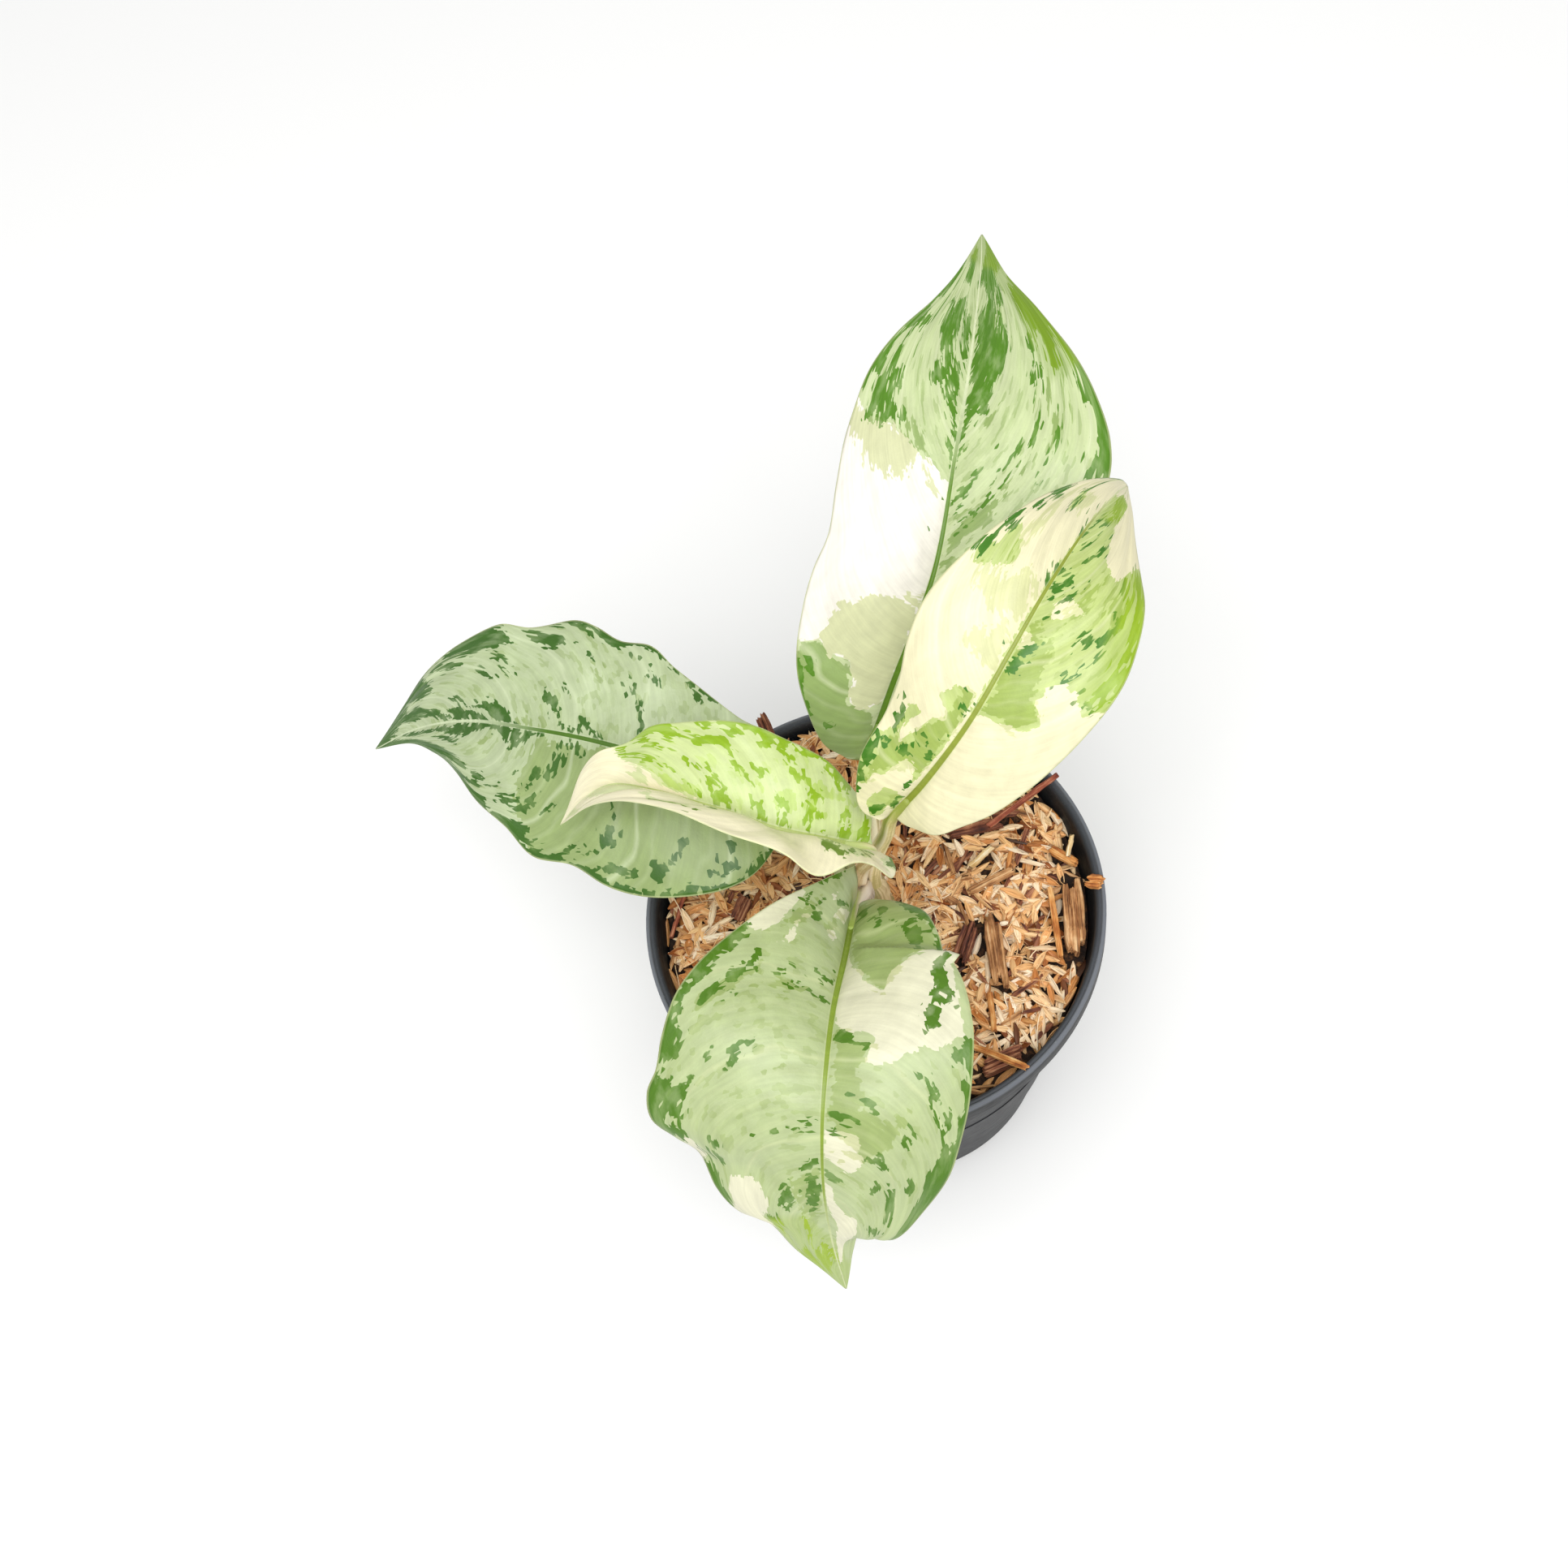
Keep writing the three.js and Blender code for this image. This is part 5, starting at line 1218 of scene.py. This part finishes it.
def fibre_pattern():
    """A thin fibre in a loose bow."""
    piece, angle, share, _ = ring_tube("fibre_pattern", 4, 9)
    bow = share - 0.5
    y = np.cos(angle) * 0.5 + 3 * np.sin(2.4 * bow) ** 2
    z = np.sin(angle) * 0.5 + np.sin(5 * bow)
    put_corners(piece, np.stack([bow, y, z], 1))
    return pattern_of(piece)


def turn_of(yaw, tilt, roll):
    turns = (Matrix.Rotation(angle, 3, axis) for angle, axis in ((yaw, "Z"), (tilt, "Y"), (roll, "X")))
    first, second, third = turns
    return np.array(first @ second @ third)


def on_wood(x, y, room):
    """Whether a place is on one of the bigger pieces of wood."""
    for start, end, width, *_ in WOOD.values():
        a, b = np.array(start[:2]), np.array(end[:2])
        share = np.clip(np.dot((x, y) - a, b - a) / np.dot(b - a, b - a), -0.05, 1.05)
        if np.hypot(*(np.array((x, y)) - a - share * (b - a))) < width / 2 + room:
            return True
    return False


def scatter(draw, count, length, lift, tilt, room, lengths=(0.75, 1.15), widths=(0.8, 1.15)):
    """Places for loose pieces over the bed, inside the wall and off the cane and the bigger wood."""
    places = []
    while len(places) < count:
        radius = (HUSKS_TO + 0.1) * math.sqrt(draw.random())
        angle = draw.random() * 2 * math.pi
        x, y = radius * math.cos(angle), radius * math.sin(angle)
        yaw = draw.random() * 2 * math.pi
        size = np.array([draw.uniform(*lengths), draw.uniform(*widths), draw.uniform(0.8, 1.2)])
        half = length * size[0] / 2
        ends = [np.hypot(x + s * half * math.cos(yaw), y + s * half * math.sin(yaw)) for s in (-1, 1)]
        if max(ends) > HUSKS_TO or radius < CANE_ROOM or on_wood(x, y, room):
            continue
        height = bed_height(x, y) + draw.uniform(*lift)
        slope = float(np.clip(draw.normal(0, tilt), -STEEPEST, STEEPEST))
        places.append((turn_of(yaw, slope, draw.normal(0, 0.5)), np.array([x, y, height]), size))
    return places


class EVERGREEN_OT_bed(bpy.types.Operator):
    """Fills the pot with bark fines and covers them with rice husks, splinters, straws and fibres"""

    bl_idname = "evergreen.bed"
    bl_label = "Husk bed"

    def execute(self, context):
        settings = context.scene.evergreen_bed
        fill = begin(
            "bed_fill", bpy.ops.mesh.primitive_grid_add, x_subdivisions=110, y_subdivisions=110, size=2
        )
        at = corners(fill)
        # The square is drawn round: each ring of the grid becomes a circle.
        ring = np.maximum(np.abs(at[:, 0]), np.abs(at[:, 1]))
        away = np.maximum(np.hypot(at[:, 0], at[:, 1]), 1e-9)
        flat = at[:, :2] * (ring / away)[:, None]
        edge = wall_radius(BED_SURFACE) - POT_WALL - 0.5
        x, y = flat[:, 0] * edge, flat[:, 1] * edge
        level = np.stack([x, y, 0 * x], 1)
        crumbs = wavy(level, 3.1) + 0.5 * wavy(level, 1.3, 5.0)
        z = bed_height(x, y) - 1.4 + 0.5 * crumbs
        lump = np.hypot(x - LUMP_AT[0], y - LUMP_AT[1]) / LUMP_RADIUS
        heap = np.sqrt(np.clip(1 - lump**2, 0, 1)) * LUMP_HEIGHT * (1 + 0.25 * crumbs)
        z += np.where(lump < 1, heap, 0)
        put_corners(fill, np.stack([x, y, z], 1))
        bpy.ops.object.mode_set(mode="EDIT")
        bpy.ops.mesh.select_all(action="SELECT")
        bpy.ops.mesh.region_to_loop()
        bpy.ops.mesh.extrude_edges_move(TRANSFORM_OT_translate={"value": (0, 0, -0.09)})
        bpy.ops.object.mode_set(mode="OBJECT")
        at = corners(fill) / MM
        low = at[:, 2] < 40
        at[low, :2] *= (wall_radius(5) - POT_WALL - 0.8) / edge
        at[low, 2] = POT_FLOOR + 0.4
        put_corners(fill, at)
        bpy.ops.object.mode_set(mode="EDIT")
        bpy.ops.mesh.select_all(action="DESELECT")
        bpy.ops.mesh.select_non_manifold(
            extend=False, use_wire=False, use_boundary=True, use_multi_face=False, use_non_contiguous=False,
            use_verts=False,
        )
        bpy.ops.mesh.edge_face_add()
        bpy.ops.object.mode_set(mode="OBJECT")
        outward()
        done(fill, "husk_bed", "husks", soil_finish(), angle=60)

        straw = husk_finish()
        draw = np.random.default_rng(7)
        boat, boat_faces = husk_pattern(settings, closed=False)
        grain, grain_faces = husk_pattern(settings, closed=True)
        length = settings.husk_length / MM
        # Each layer: its pattern, its share of the husks, its lift, its tilt, the room it leaves round the
        # wood and how much paler it is, which is painted shade: the low layer darker, the higher ones
        # paler. Rice husks are golden, whitish or brown.
        layers = [
            ("husks_low", boat, boat_faces, 0.26, (-1.2, 0.1), 0.2, 0.2, -0.08),
            ("husks_middle", boat, boat_faces, 0.22, (-0.1, 1.0), 0.24, 0.25, 0.0),
            ("husks_top", boat, boat_faces, 0.16, (0.8, 2.1), 0.24, 0.3, 0.06),
            ("husks_closed", grain, grain_faces, 0.36, (-0.2, 1.9), 0.22, 0.4, 0.02),
        ]
        for name, template, faces, part, lift, tilt, room, paler in layers:
            places = scatter(draw, int(settings.husks * part), length, lift, tilt, room)
            # Half of the open husks lie with their backs up.
            for turn, _, _ in places:
                if draw.random() < 0.5:
                    turn[:] = turn @ turn_of(0, 0, math.pi)
            kinds = draw.choice(4, len(places), p=(0.45, 0.29, 0.17, 0.09))
            # The paler number shifts each layer's tone by depth: painted shade on the low layer.
            tints = np.choose(kinds, (0.55, 0.86, 0.3, 0.1)) + draw.normal(paler, 0.07, len(places))
            piece = repeat(name, template, faces, places, np.clip(tints, 0, 1))
            done(piece, "husk_bed", "husks", straw, angle=50)

        sliver, sliver_faces = splinter_pattern()
        brown = wood_finish("brown_splinters", *WOOD_TONES["weathered"])
        dark = wood_finish("dark_splinters", *WOOD_TONES["bark"])
        # Each kind: its share of the splinters, its finish, its lengths and widths, and its tone.
        kinds = (
            ("straws", 0.3, straw, (2, 12), (0.6, 1.5), 0.8),
            ("splinters_brown", 0.38, brown, (4, 15), (0.7, 2.2), 0.6),
            ("splinters_dark", 0.22, dark, (3, 13), (0.8, 2.6), 0.5),
        )
        for name, part, finish, lengths, widths, tone in kinds:
            number = int(settings.splinters * part)
            places = scatter(draw, number, 1, (0.2, 2.0), 0.16, 0.5, lengths=lengths, widths=widths)
            for _, _, size in places:
                size[2] *= 0.8
            tints = np.clip(draw.normal(tone, 0.15, len(places)), 0, 1)
            done(repeat(name, sliver, sliver_faces, places, tints), "husk_bed", "husks", finish, angle=40)

        fibre, fibre_faces = fibre_pattern()
        sizes = {"lengths": (5, 13), "widths": (0.22, 0.34)}
        places = scatter(draw, settings.fibres, 1, (1.0, 2.4), 0.08, 0.4, **sizes)
        for _, _, size in places:
            size[2] = size[1]
        tints = np.clip(draw.normal(0.7, 0.2, len(places)), 0, 1)
        done(repeat("fibres", fibre, fibre_faces, places, tints), "husk_bed", "husks", straw, angle=80)
        return {"FINISHED"}


class EVERGREEN_OT_wood(bpy.types.Operator):
    """Splits the bigger loose pieces: planks and slabs with open grain, bark, sticks and reeds"""

    bl_idname = "evergreen.wood"
    bl_label = "Loose wood"

    def execute(self, context):
        names = {
            "weathered": "weathered_softwood", "orange": "fresh_split_wood", "bark": "dark_bark",
            "red": "red_twig_bark", "reed": "dry_reed",
        }
        finishes = {key: wood_finish(name, *WOOD_TONES[key]) for key, name in names.items()}
        for number, (name, (start, end, width, depth, kind, finish)) in enumerate(WOOD.items()):
            a, b = np.array(start, float), np.array(end, float)
            length = np.linalg.norm(b - a)
            along = (b - a) / length
            side = np.cross((0, 0, 1), along)
            side /= np.linalg.norm(side)
            up = np.cross(along, side)
            if kind == "plank":
                piece, at = block(name + "_split", 14)
                x, y, z = at.T
                # Corners come in at the ends, and fibres break off at uneven lengths.
                seed = number * 9.1
                broken = wavy(np.stack([0 * x, y * width, z * depth], 1), 0.9, seed)
                streaks = wavy(np.stack([x * length * 0.05, y * width, z * depth], 1), 1.3, seed + 3)
                waves = wavy(np.stack([x * length, y * width * 0.5, z * depth * 0.5], 1), 6.0, seed + 7)
                # A wide plank has split lengthwise into strips that end apart, with a deep gap between two.
                strips = max(1, round(width / STRIP_WIDTH))
                lane = (y + 1) / 2 * strips + 0.12 * waves
                strip = np.clip(np.floor(lane), 0, strips - 1)
                gap = bump(lane - np.round(lane), 0.16) * ((lane > 0.5) & (lane < strips - 0.5))
                shift = 0.09 * length * np.sin(seed + 2.4 * strip) * (strips > 1)
                narrow = 1 - 0.16 * np.abs(x) ** 6 + 0.05 * waves
                ends = np.sign(x) * np.abs(x) ** 8 * (0.1 + 0.6 * broken)
                rounding = np.sign(y) * np.abs(y) ** 6 * 0.12 * (1 + streaks) * width / 4
                thinner = 1 - 0.1 * np.abs(y) ** 4 - 0.06 * np.abs(x) ** 5
                local = np.stack([
                    x * (length / 2 - 0.7) + np.abs(x) ** 4 * shift + ends,
                    y * width / 2 * narrow - rounding,
                    z * depth / 2 * thinner + 0.4 * streaks * (z > -0.9) - gap * (z > 0) * 0.3 * depth,
                ], 1)
                angle = 40
            else:
                piece, turn, share, wall = ring_tube(name + "_stick", 14, 26)
                x = share * 2 - 1
                ring = np.stack([x * length, np.cos(turn) * width, np.sin(turn) * width], 1)
                knots = bump(share - 0.72, 0.05) * 0.16
                rough = 0.06 * wavy(ring, 2.2, number * 5.3)
                girth = width / 2 * (0.92 - 0.08 * share + knots + rough) * wall
                bow = 0.25 * np.cos(x * math.pi / 2)
                local = np.stack([
                    x * length / 2 + 0.3 * np.cos(turn * 2 + 1) * np.abs(x) ** 10,
                    np.cos(turn) * girth + bow * wavy(ring * (1, 0, 0), 8, number),
                    np.sin(turn) * girth,
                ], 1)
                angle = 60
            middle = (a + b) / 2
            put_corners(piece, middle + local @ np.stack([along, side, up]))
            write_field(piece, "lay", local + (number * 31.0, 0, 0))
            done(piece, name, WOOD_SLOTS[finish], finishes[finish], angle=angle)
        return {"FINISHED"}


class EVERGREEN_OT_cane(bpy.types.Operator):
    """Turns the short cane with its two leaf scars, and grows its stout roots"""

    bl_idname = "evergreen.cane"
    bl_label = "Cane and roots"

    def execute(self, context):
        skin = stalk_finish("cane_skin", "#d8c296", "#b9a272", "#8c8250", "#8a7a4a")
        radii, heights = np.array(CANE_PROFILE, float).T
        cane, angle, share, wall = ring_tube("cane_stem", 32, 70)
        height = heights[0] + share * (heights[-1] - heights[0])
        ring = np.stack([np.cos(angle) * 6, np.sin(angle) * 6, height], 1)
        taper = 1 - 0.6 * smooth(height, heights[-1] - CANE_SHOULDER, heights[-1])
        radius = np.interp(height, heights, radii) * (1 + 0.02 * wavy(ring, 5)) * taper * wall
        put_corners(cane, np.stack([np.cos(angle) * radius, np.sin(angle) * radius, height], 1))
        write_field(cane, "lay", np.stack([height, np.cos(angle) * 5, np.sin(angle) * 5], 1))
        write_field(cane, "tint", 0 * angle)
        roots = []
        for number in range(ROOTS):
            turn = number / ROOTS * 2 * math.pi + ROOT_TURN
            path = [(reach * math.cos(turn), reach * math.sin(turn), h) for reach, h in ROOT_LINE]
            roots.append(tube_along("cane_root", path, [(0, 1.5), (1, 0.6)], (0, 0, 1), 12, 30, groove=0))
        join(cane, *roots)
        done(cane, "cane", "cane", skin, angle=60)
        return {"FINISHED"}


def tube_along(name, path, widths, facing, sides, stations, groove, sheath=0.0):
    """A stalk along a path. Its groove faces the given way, and its sheath opens there with two lips."""
    piece, angle, share, wall = ring_tube(name, sides, stations)
    levels, row = np.unique(np.round(share, 5), return_inverse=True)
    centres, length = even_curve(path, levels)
    _, face, side = cross_frame(centres, facing)
    half = np.interp(share, *zip(*widths))
    spread = np.abs(angle)
    cut = groove * bump(spread, 0.5)
    clasp = 1 - smooth(share, sheath - 0.08, sheath + 0.02) if sheath else 0 * share
    lips = clasp * (0.16 * bump(spread - 0.75, 0.2) - 0.3 * bump(spread, 0.55))
    girth = half * (1 - cut + lips) * wall
    offset = face[row] * (np.cos(angle) * girth)[:, None] + side[row] * (np.sin(angle) * girth)[:, None]
    put_corners(piece, centres[row] + offset)
    write_field(piece, "lay", np.stack([share * length, np.cos(angle) * 3, np.sin(angle) * 3], 1))
    # The groove's colour: a line down the facing side above the sheath, and all of the end in the midrib.
    line = bump(spread, 0.5) * smooth(share, sheath - 0.1, sheath + 0.1)
    write_field(piece, "tint", np.maximum(line, smooth(share, 0.8, 0.96)) if sheath else 0 * share)
    return piece


def outline_depth(points, outline):
    """How far inside an outline each point lies; outside it is negative."""
    outline = np.array(outline, float)
    after = np.roll(outline, -1, axis=0)
    best = np.full(len(points), np.inf)
    inside = np.zeros(len(points), bool)
    for a, b in zip(outline, after):
        step = b - a
        share = np.clip((points - a) @ step / max(step @ step, 1e-12), 0, 1)
        best = np.minimum(best, np.linalg.norm(points - a - share[:, None] * step, axis=1))
        crosses = (a[1] > points[:, 1]) != (b[1] > points[:, 1])
        rise = np.where(abs(b[1] - a[1]) < 1e-12, 1e-12, b[1] - a[1])
        inside ^= crosses & (points[:, 0] < (b[0] - a[0]) * (points[:, 1] - a[1]) / rise + a[0])
    return np.where(inside, best, -best)


def vein_place(along, across, sweep):
    """A number that stays the same on the way out along a side vein, which sweeps towards the tip."""
    reach, forward, sideways = sweep
    return along - reach * along**forward * np.abs(across) ** sideways


def field_of(marks, along, across, length, reach, sweep):
    """Depth in millimetres inside the nearest of some marks, for points given along and across."""
    depth = np.full(len(along), -9.0)
    flat = np.stack([along * length, across * reach.max()], 1)
    swept = vein_place(along, across, sweep)
    for mark in marks:
        if isinstance(mark, list):
            outline = [(t * length, u * reach.max()) for t, u in mark]
            depth = np.maximum(depth, outline_depth(flat, outline))
            continue
        t0, t1, u0, u1 = mark
        t, u = (t0 + t1) / 2, (u0 + u1) / 2
        slant = abs(vein_place(t, u0, sweep) - vein_place(t, u1, sweep))
        tall = max((t1 - t0 - slant) / 2, 0.3 * (t1 - t0)) * length
        wide = np.maximum((u1 - u0) / 2 * reach, 0.6)
        from_middle = np.abs((swept - vein_place(t, u, sweep)) * length / tall) ** 2.6
        from_middle += np.abs((across - u) * reach / wide) ** 2.6
        smaller = np.minimum(tall, wide)
        depth = np.maximum(depth, (1 - from_middle ** (1 / 2.6)) * smaller)
    return np.clip(depth, -9, 9)


def blade(name, leaf, settings):
    """A blade: a grid laid between its guide lines, quilted between its veins, with a rib beneath."""
    piece = begin(
        name, bpy.ops.mesh.primitive_grid_add, x_subdivisions=BLADE_COLUMNS, y_subdivisions=BLADE_ROWS,
        size=2,
    )
    at = corners(piece)
    column = np.round((at[:, 0] + 1) / 2 * BLADE_COLUMNS).astype(int)
    row = np.round((at[:, 1] + 1) / 2 * BLADE_ROWS).astype(int)
    spread = np.linspace(-1, 1, BLADE_COLUMNS + 1)
    across = np.sign(spread) * (0.55 * np.abs(spread) + 0.45 * spread**2)
    along = np.linspace(0, TIP_AT, BLADE_ROWS + 1)
    middle, length = even_curve(leaf["midrib"], along)
    left, _ = even_curve(leaf["left"], along)
    right, _ = even_curve(leaf["right"], along)
    creased = name == "leaf_e_front"
    if creased:
        spur = 2.6 * bump(along - CREASE[1], 0.009)
        outwards = left - middle
        left = left + outwards / np.linalg.norm(outwards, axis=1)[:, None] * spur[:, None]
    forward = np.gradient(middle, axis=0)
    grid = np.zeros((BLADE_ROWS + 1, BLADE_COLUMNS + 1, 3))
    width = np.zeros(grid.shape[:2])
    for k, u in enumerate(across):
        margin = (left if u < 0 else right) - middle
        up = np.cross(forward, margin) if u < 0 else np.cross(margin, forward)
        up /= np.linalg.norm(up, axis=1)[:, None] + 1e-9
        width[:, k] = np.linalg.norm(margin, axis=1)
        arch = 0.28 * abs(u) * (1 - abs(u)) * width[:, k]
        grid[:, k] = middle + margin * abs(u) + up * arch[:, None]
    t, u = np.meshgrid(along, across, indexing="ij")

    def normals(points):
        facing = np.cross(np.gradient(points, axis=1), np.gradient(points, axis=0))
        return facing / (np.linalg.norm(facing, axis=2)[:, :, None] + 1e-12)

    number = settings.veins * vein_place(t, u, leaf["sweep"])
    over_rib = bump(u * width, 1.5)
    fade = smooth(np.abs(u) * width, 1.5, 6) * (1 - smooth(np.abs(u), 0.82, 1)) * smooth(width, 4, 18)
    quilt = (np.abs(np.sin(math.pi * number)) ** 0.8 - 0.6) * settings.quilting / MM * fade
    flat = grid.reshape(-1, 3)
    roll = wavy(flat, 17, 3.0).reshape(t.shape) * 0.55 * smooth(np.abs(u), 0.1, 0.6)
    raised = quilt + roll - 0.55 * over_rib * (1 - t)
    if creased:
        leftward = np.maximum(-u, 0)
        past = (t - CREASE[0] - (CREASE[1] - CREASE[0]) * leftward**0.75) * length
        before = np.exp(past / 1.6) - 0.9 * bump(past + 5, 4)
        raised += 1.5 * np.where(past < 0, before, np.exp(-past / 8)) * smooth(leftward, 0.03, 0.3)
    grid = grid + normals(grid) * raised[:, :, None]
    facing = normals(grid)
    thick = settings.thickness / MM * (1 - 0.5 * np.abs(u) ** 8) * smooth(width, -3, 6)
    rib = 1.15 * (1 - t) ** 0.8 * bump(u * width, 1.2) * smooth(width, 2, 8)
    lower = grid - facing * (thick + rib)[:, :, None]

    top = grid[row, column]
    put_corners(piece, top)
    shell = piece.modifiers.new("thickness", "SOLIDIFY")
    shell.thickness = settings.thickness
    shell.offset = -1
    shell.material_offset = 1
    bpy.ops.object.modifier_apply(modifier=shell.name)
    count = len(top)
    if len(piece.data.vertices) != 2 * count:
        raise RuntimeError("the blade's two faces don't match")
    put_corners(piece, np.vstack([top, lower[row, column]]))

    share_t, share_u = t[row, column], u[row, column]
    reach = width[row, column]
    pattern = PATTERNS[name]
    fields = {
        key: field_of(pattern.get(key, ()), share_t, share_u, length, reach, leaf["sweep"])
        for key in ("dark", "cream", "half", "lime", "green")
    }
    if "green" in pattern:
        fields["cream"] = np.maximum(fields["cream"], -fields["green"])
    blotch = np.stack([fields[key] for key in ("dark", "cream", "half", "lime")], 1)
    aside = np.abs(share_u)
    swept = vein_place(share_t, share_u, leaf["sweep"])
    # The second number grows on the way out along a vein, a little faster on the right half.
    out = aside * reach * (1 + 0.15 * np.sign(share_u)) + 0.7 * share_t * length
    lay = np.stack([swept * length, out, 0 * reach], 1)
    # The share of the way to the margin, the distance over the midrib's half width, and the vein number.
    rib_half = 0.12 + 0.88 * (1 - share_t) ** 1.3
    shares = np.stack([aside, aside * reach / rib_half, number[row, column]], 1)
    for field, values in (("blotch", blotch), ("lay", lay), ("shares", shares)):
        write_field(piece, field, np.vstack([values, values]))
    return piece


class EVERGREEN_OT_leaves(bpy.types.Operator):
    """Grows the five leaves: each blade with its veins, rib and colours, on its stalk and sheath"""

    bl_idname = "evergreen.leaves"
    bl_label = "Leaves"

    def execute(self, context):
        settings = context.scene.evergreen_leaf
        for name, leaf in LEAVES.items():
            looks = (*PALETTES[name], settings.veins, RIB_FADE[name])
            upper = leaf_finish(name + "_upper", *looks)
            under = leaf_finish(name + "_underside", *looks, under=True)
            piece = blade(name, leaf, settings)
            for finish in (upper, under):
                piece.data.materials.append(finish)
            # The corners of the upper face come first, and all else is the underside.
            uppers = (BLADE_ROWS + 1) * (BLADE_COLUMNS + 1)
            for polygon in piece.data.polygons:
                polygon.material_index = int(min(polygon.vertices) >= uppers)
            # The stalk's groove faces back, away from where the blade goes, and a little up.
            reach = np.subtract(leaf["midrib"][3], leaf["midrib"][0], dtype=float)
            facing = (-reach[0], -reach[1], 0.25 * np.hypot(reach[0], reach[1]))
            stalk = tube_along(
                name + "_stalk", leaf["stalk"], leaf["widths"], facing, 28, 60, groove=0.2,
                sheath=leaf["sheath"],
            )
            stalk.data.materials.append(stalk_finish(name + "_stalk", *STALKS[name]))
            join(piece, stalk)
            piece.name = name + "_grown"
            slot = "leaf_cream" if name in ("leaf_b_high_left", "leaf_d_high_right") else "leaf_green"
            done(piece, name, slot)
        return {"FINISHED"}


class EVERGREEN_OT_stage(bpy.types.Operator):
    """Lays a pale floor, and sets an even room light, two large soft lights and the camera"""

    bl_idname = "evergreen.stage"
    bl_label = "Stage"

    def execute(self, context):
        settings = context.scene.evergreen_stage
        floor = begin("floor", bpy.ops.mesh.primitive_plane_add, size=6, location=(0, 0, -FLOOR_DROP))
        bpy.ops.object.transform_apply(location=True)
        board, tree, shader = new_finish("pale_board")
        place = add_node(tree, "TexCoord").outputs["Object"]
        tooth = add_node(tree, "TexNoise", Vector=place, Scale=300, Detail=2)
        relief = add_node(tree, "Bump", Strength=0.05, Distance=0.0002, Height=tooth)
        set_inputs(tree, shader, Base_Color=linear_of(settings.floor), Normal=relief, Roughness=0.9)
        floor.data.materials.append(board)

        room = bpy.data.worlds.new("room")
        room.use_nodes = True
        tree = room.node_tree
        set_inputs(tree, tree.nodes["Background"], Color=linear("#ffffff"), Strength=settings.sky)
        context.scene.world = room
        # Each soft light: its name, where it hangs, its sides and its power. Both look at the pot.
        lights = (
            ("window", (-0.4, -0.4, 1.4), (1.1, 0.9), settings.key),
            ("fill", (0.08, -0.42, 0.95), (0.6, 0.6), settings.fill),
        )
        for name, place, sides, power in lights:
            light = bpy.data.lights.new(name, "AREA")
            light.shape = "RECTANGLE"
            light.size, light.size_y = sides
            light.energy = power
            panel = bpy.data.objects.new(name, light)
            panel.location = place
            panel.rotation_euler = (-panel.location.normalized()).to_track_quat("-Z", "Y").to_euler()
            context.scene.collection.objects.link(panel)

        camera = bpy.data.cameras.new("camera")
        camera.lens = LENS
        camera.sensor_width = SENSOR
        camera.clip_start = 0.01
        watcher = bpy.data.objects.new("camera", camera)
        pitch, roll = math.radians(CAMERA_PITCH), math.radians(CAMERA_ROLL)
        ahead = np.array([0, math.cos(pitch), -math.sin(pitch)])
        level = np.array([1.0, 0, 0])
        above = np.cross(level, ahead)
        right = math.cos(roll) * level + math.sin(roll) * above
        up = -math.sin(roll) * level + math.cos(roll) * above
        stance = np.eye(4)
        stance[:3] = np.stack([right, up, -ahead, CAMERA_AT], 1)
        watcher.matrix_world = Matrix(stance.tolist())
        context.scene.collection.objects.link(watcher)
        context.scene.camera = watcher
        context.scene.view_settings.view_transform = "Standard"
        return {"FINISHED"}


class EVERGREEN_PT_panel(bpy.types.Panel):
    """The evergreen's steps, in the order in which they are made"""

    bl_idname = "EVERGREEN_PT_panel"
    bl_label = "Potted evergreen"
    bl_space_type = "VIEW_3D"
    bl_region_type = "UI"
    bl_category = "Evergreen"

    def draw(self, context):
        for settings, operator in PANEL_ROWS:
            group = getattr(context.scene, settings, None)
            for name in type(group).__annotations__ if group else ():
                self.layout.prop(group, name)
            self.layout.operator(operator)


GROUPS = {
    "evergreen_pot": EvergreenPot,
    "evergreen_bed": EvergreenBed,
    "evergreen_leaf": EvergreenLeaf,
    "evergreen_stage": EvergreenStage,
}
PANEL_ROWS = [
    ("evergreen_stage", "evergreen.stage"),
    ("evergreen_pot", "evergreen.pot"),
    ("evergreen_bed", "evergreen.bed"),
    ("", "evergreen.wood"),
    ("", "evergreen.cane"),
    ("evergreen_leaf", "evergreen.leaves"),
]
CLASSES = (
    *GROUPS.values(), EVERGREEN_OT_stage, EVERGREEN_OT_pot, EVERGREEN_OT_bed, EVERGREEN_OT_wood,
    EVERGREEN_OT_cane, EVERGREEN_OT_leaves, EVERGREEN_PT_panel,
)


def register():
    for made in CLASSES:
        bpy.utils.register_class(made)
    for name, group in GROUPS.items():
        setattr(bpy.types.Scene, name, PointerProperty(type=group))


def unregister():
    for name in GROUPS:
        delattr(bpy.types.Scene, name)
    for made in reversed(CLASSES):
        bpy.utils.unregister_class(made)


def main():
    register()
    bpy.ops.evergreen.stage()
    bpy.ops.evergreen.pot()
    bpy.ops.evergreen.bed()
    bpy.ops.evergreen.wood()
    bpy.ops.evergreen.cane()
    bpy.ops.evergreen.leaves()


if __name__ == "__main__":
    main()
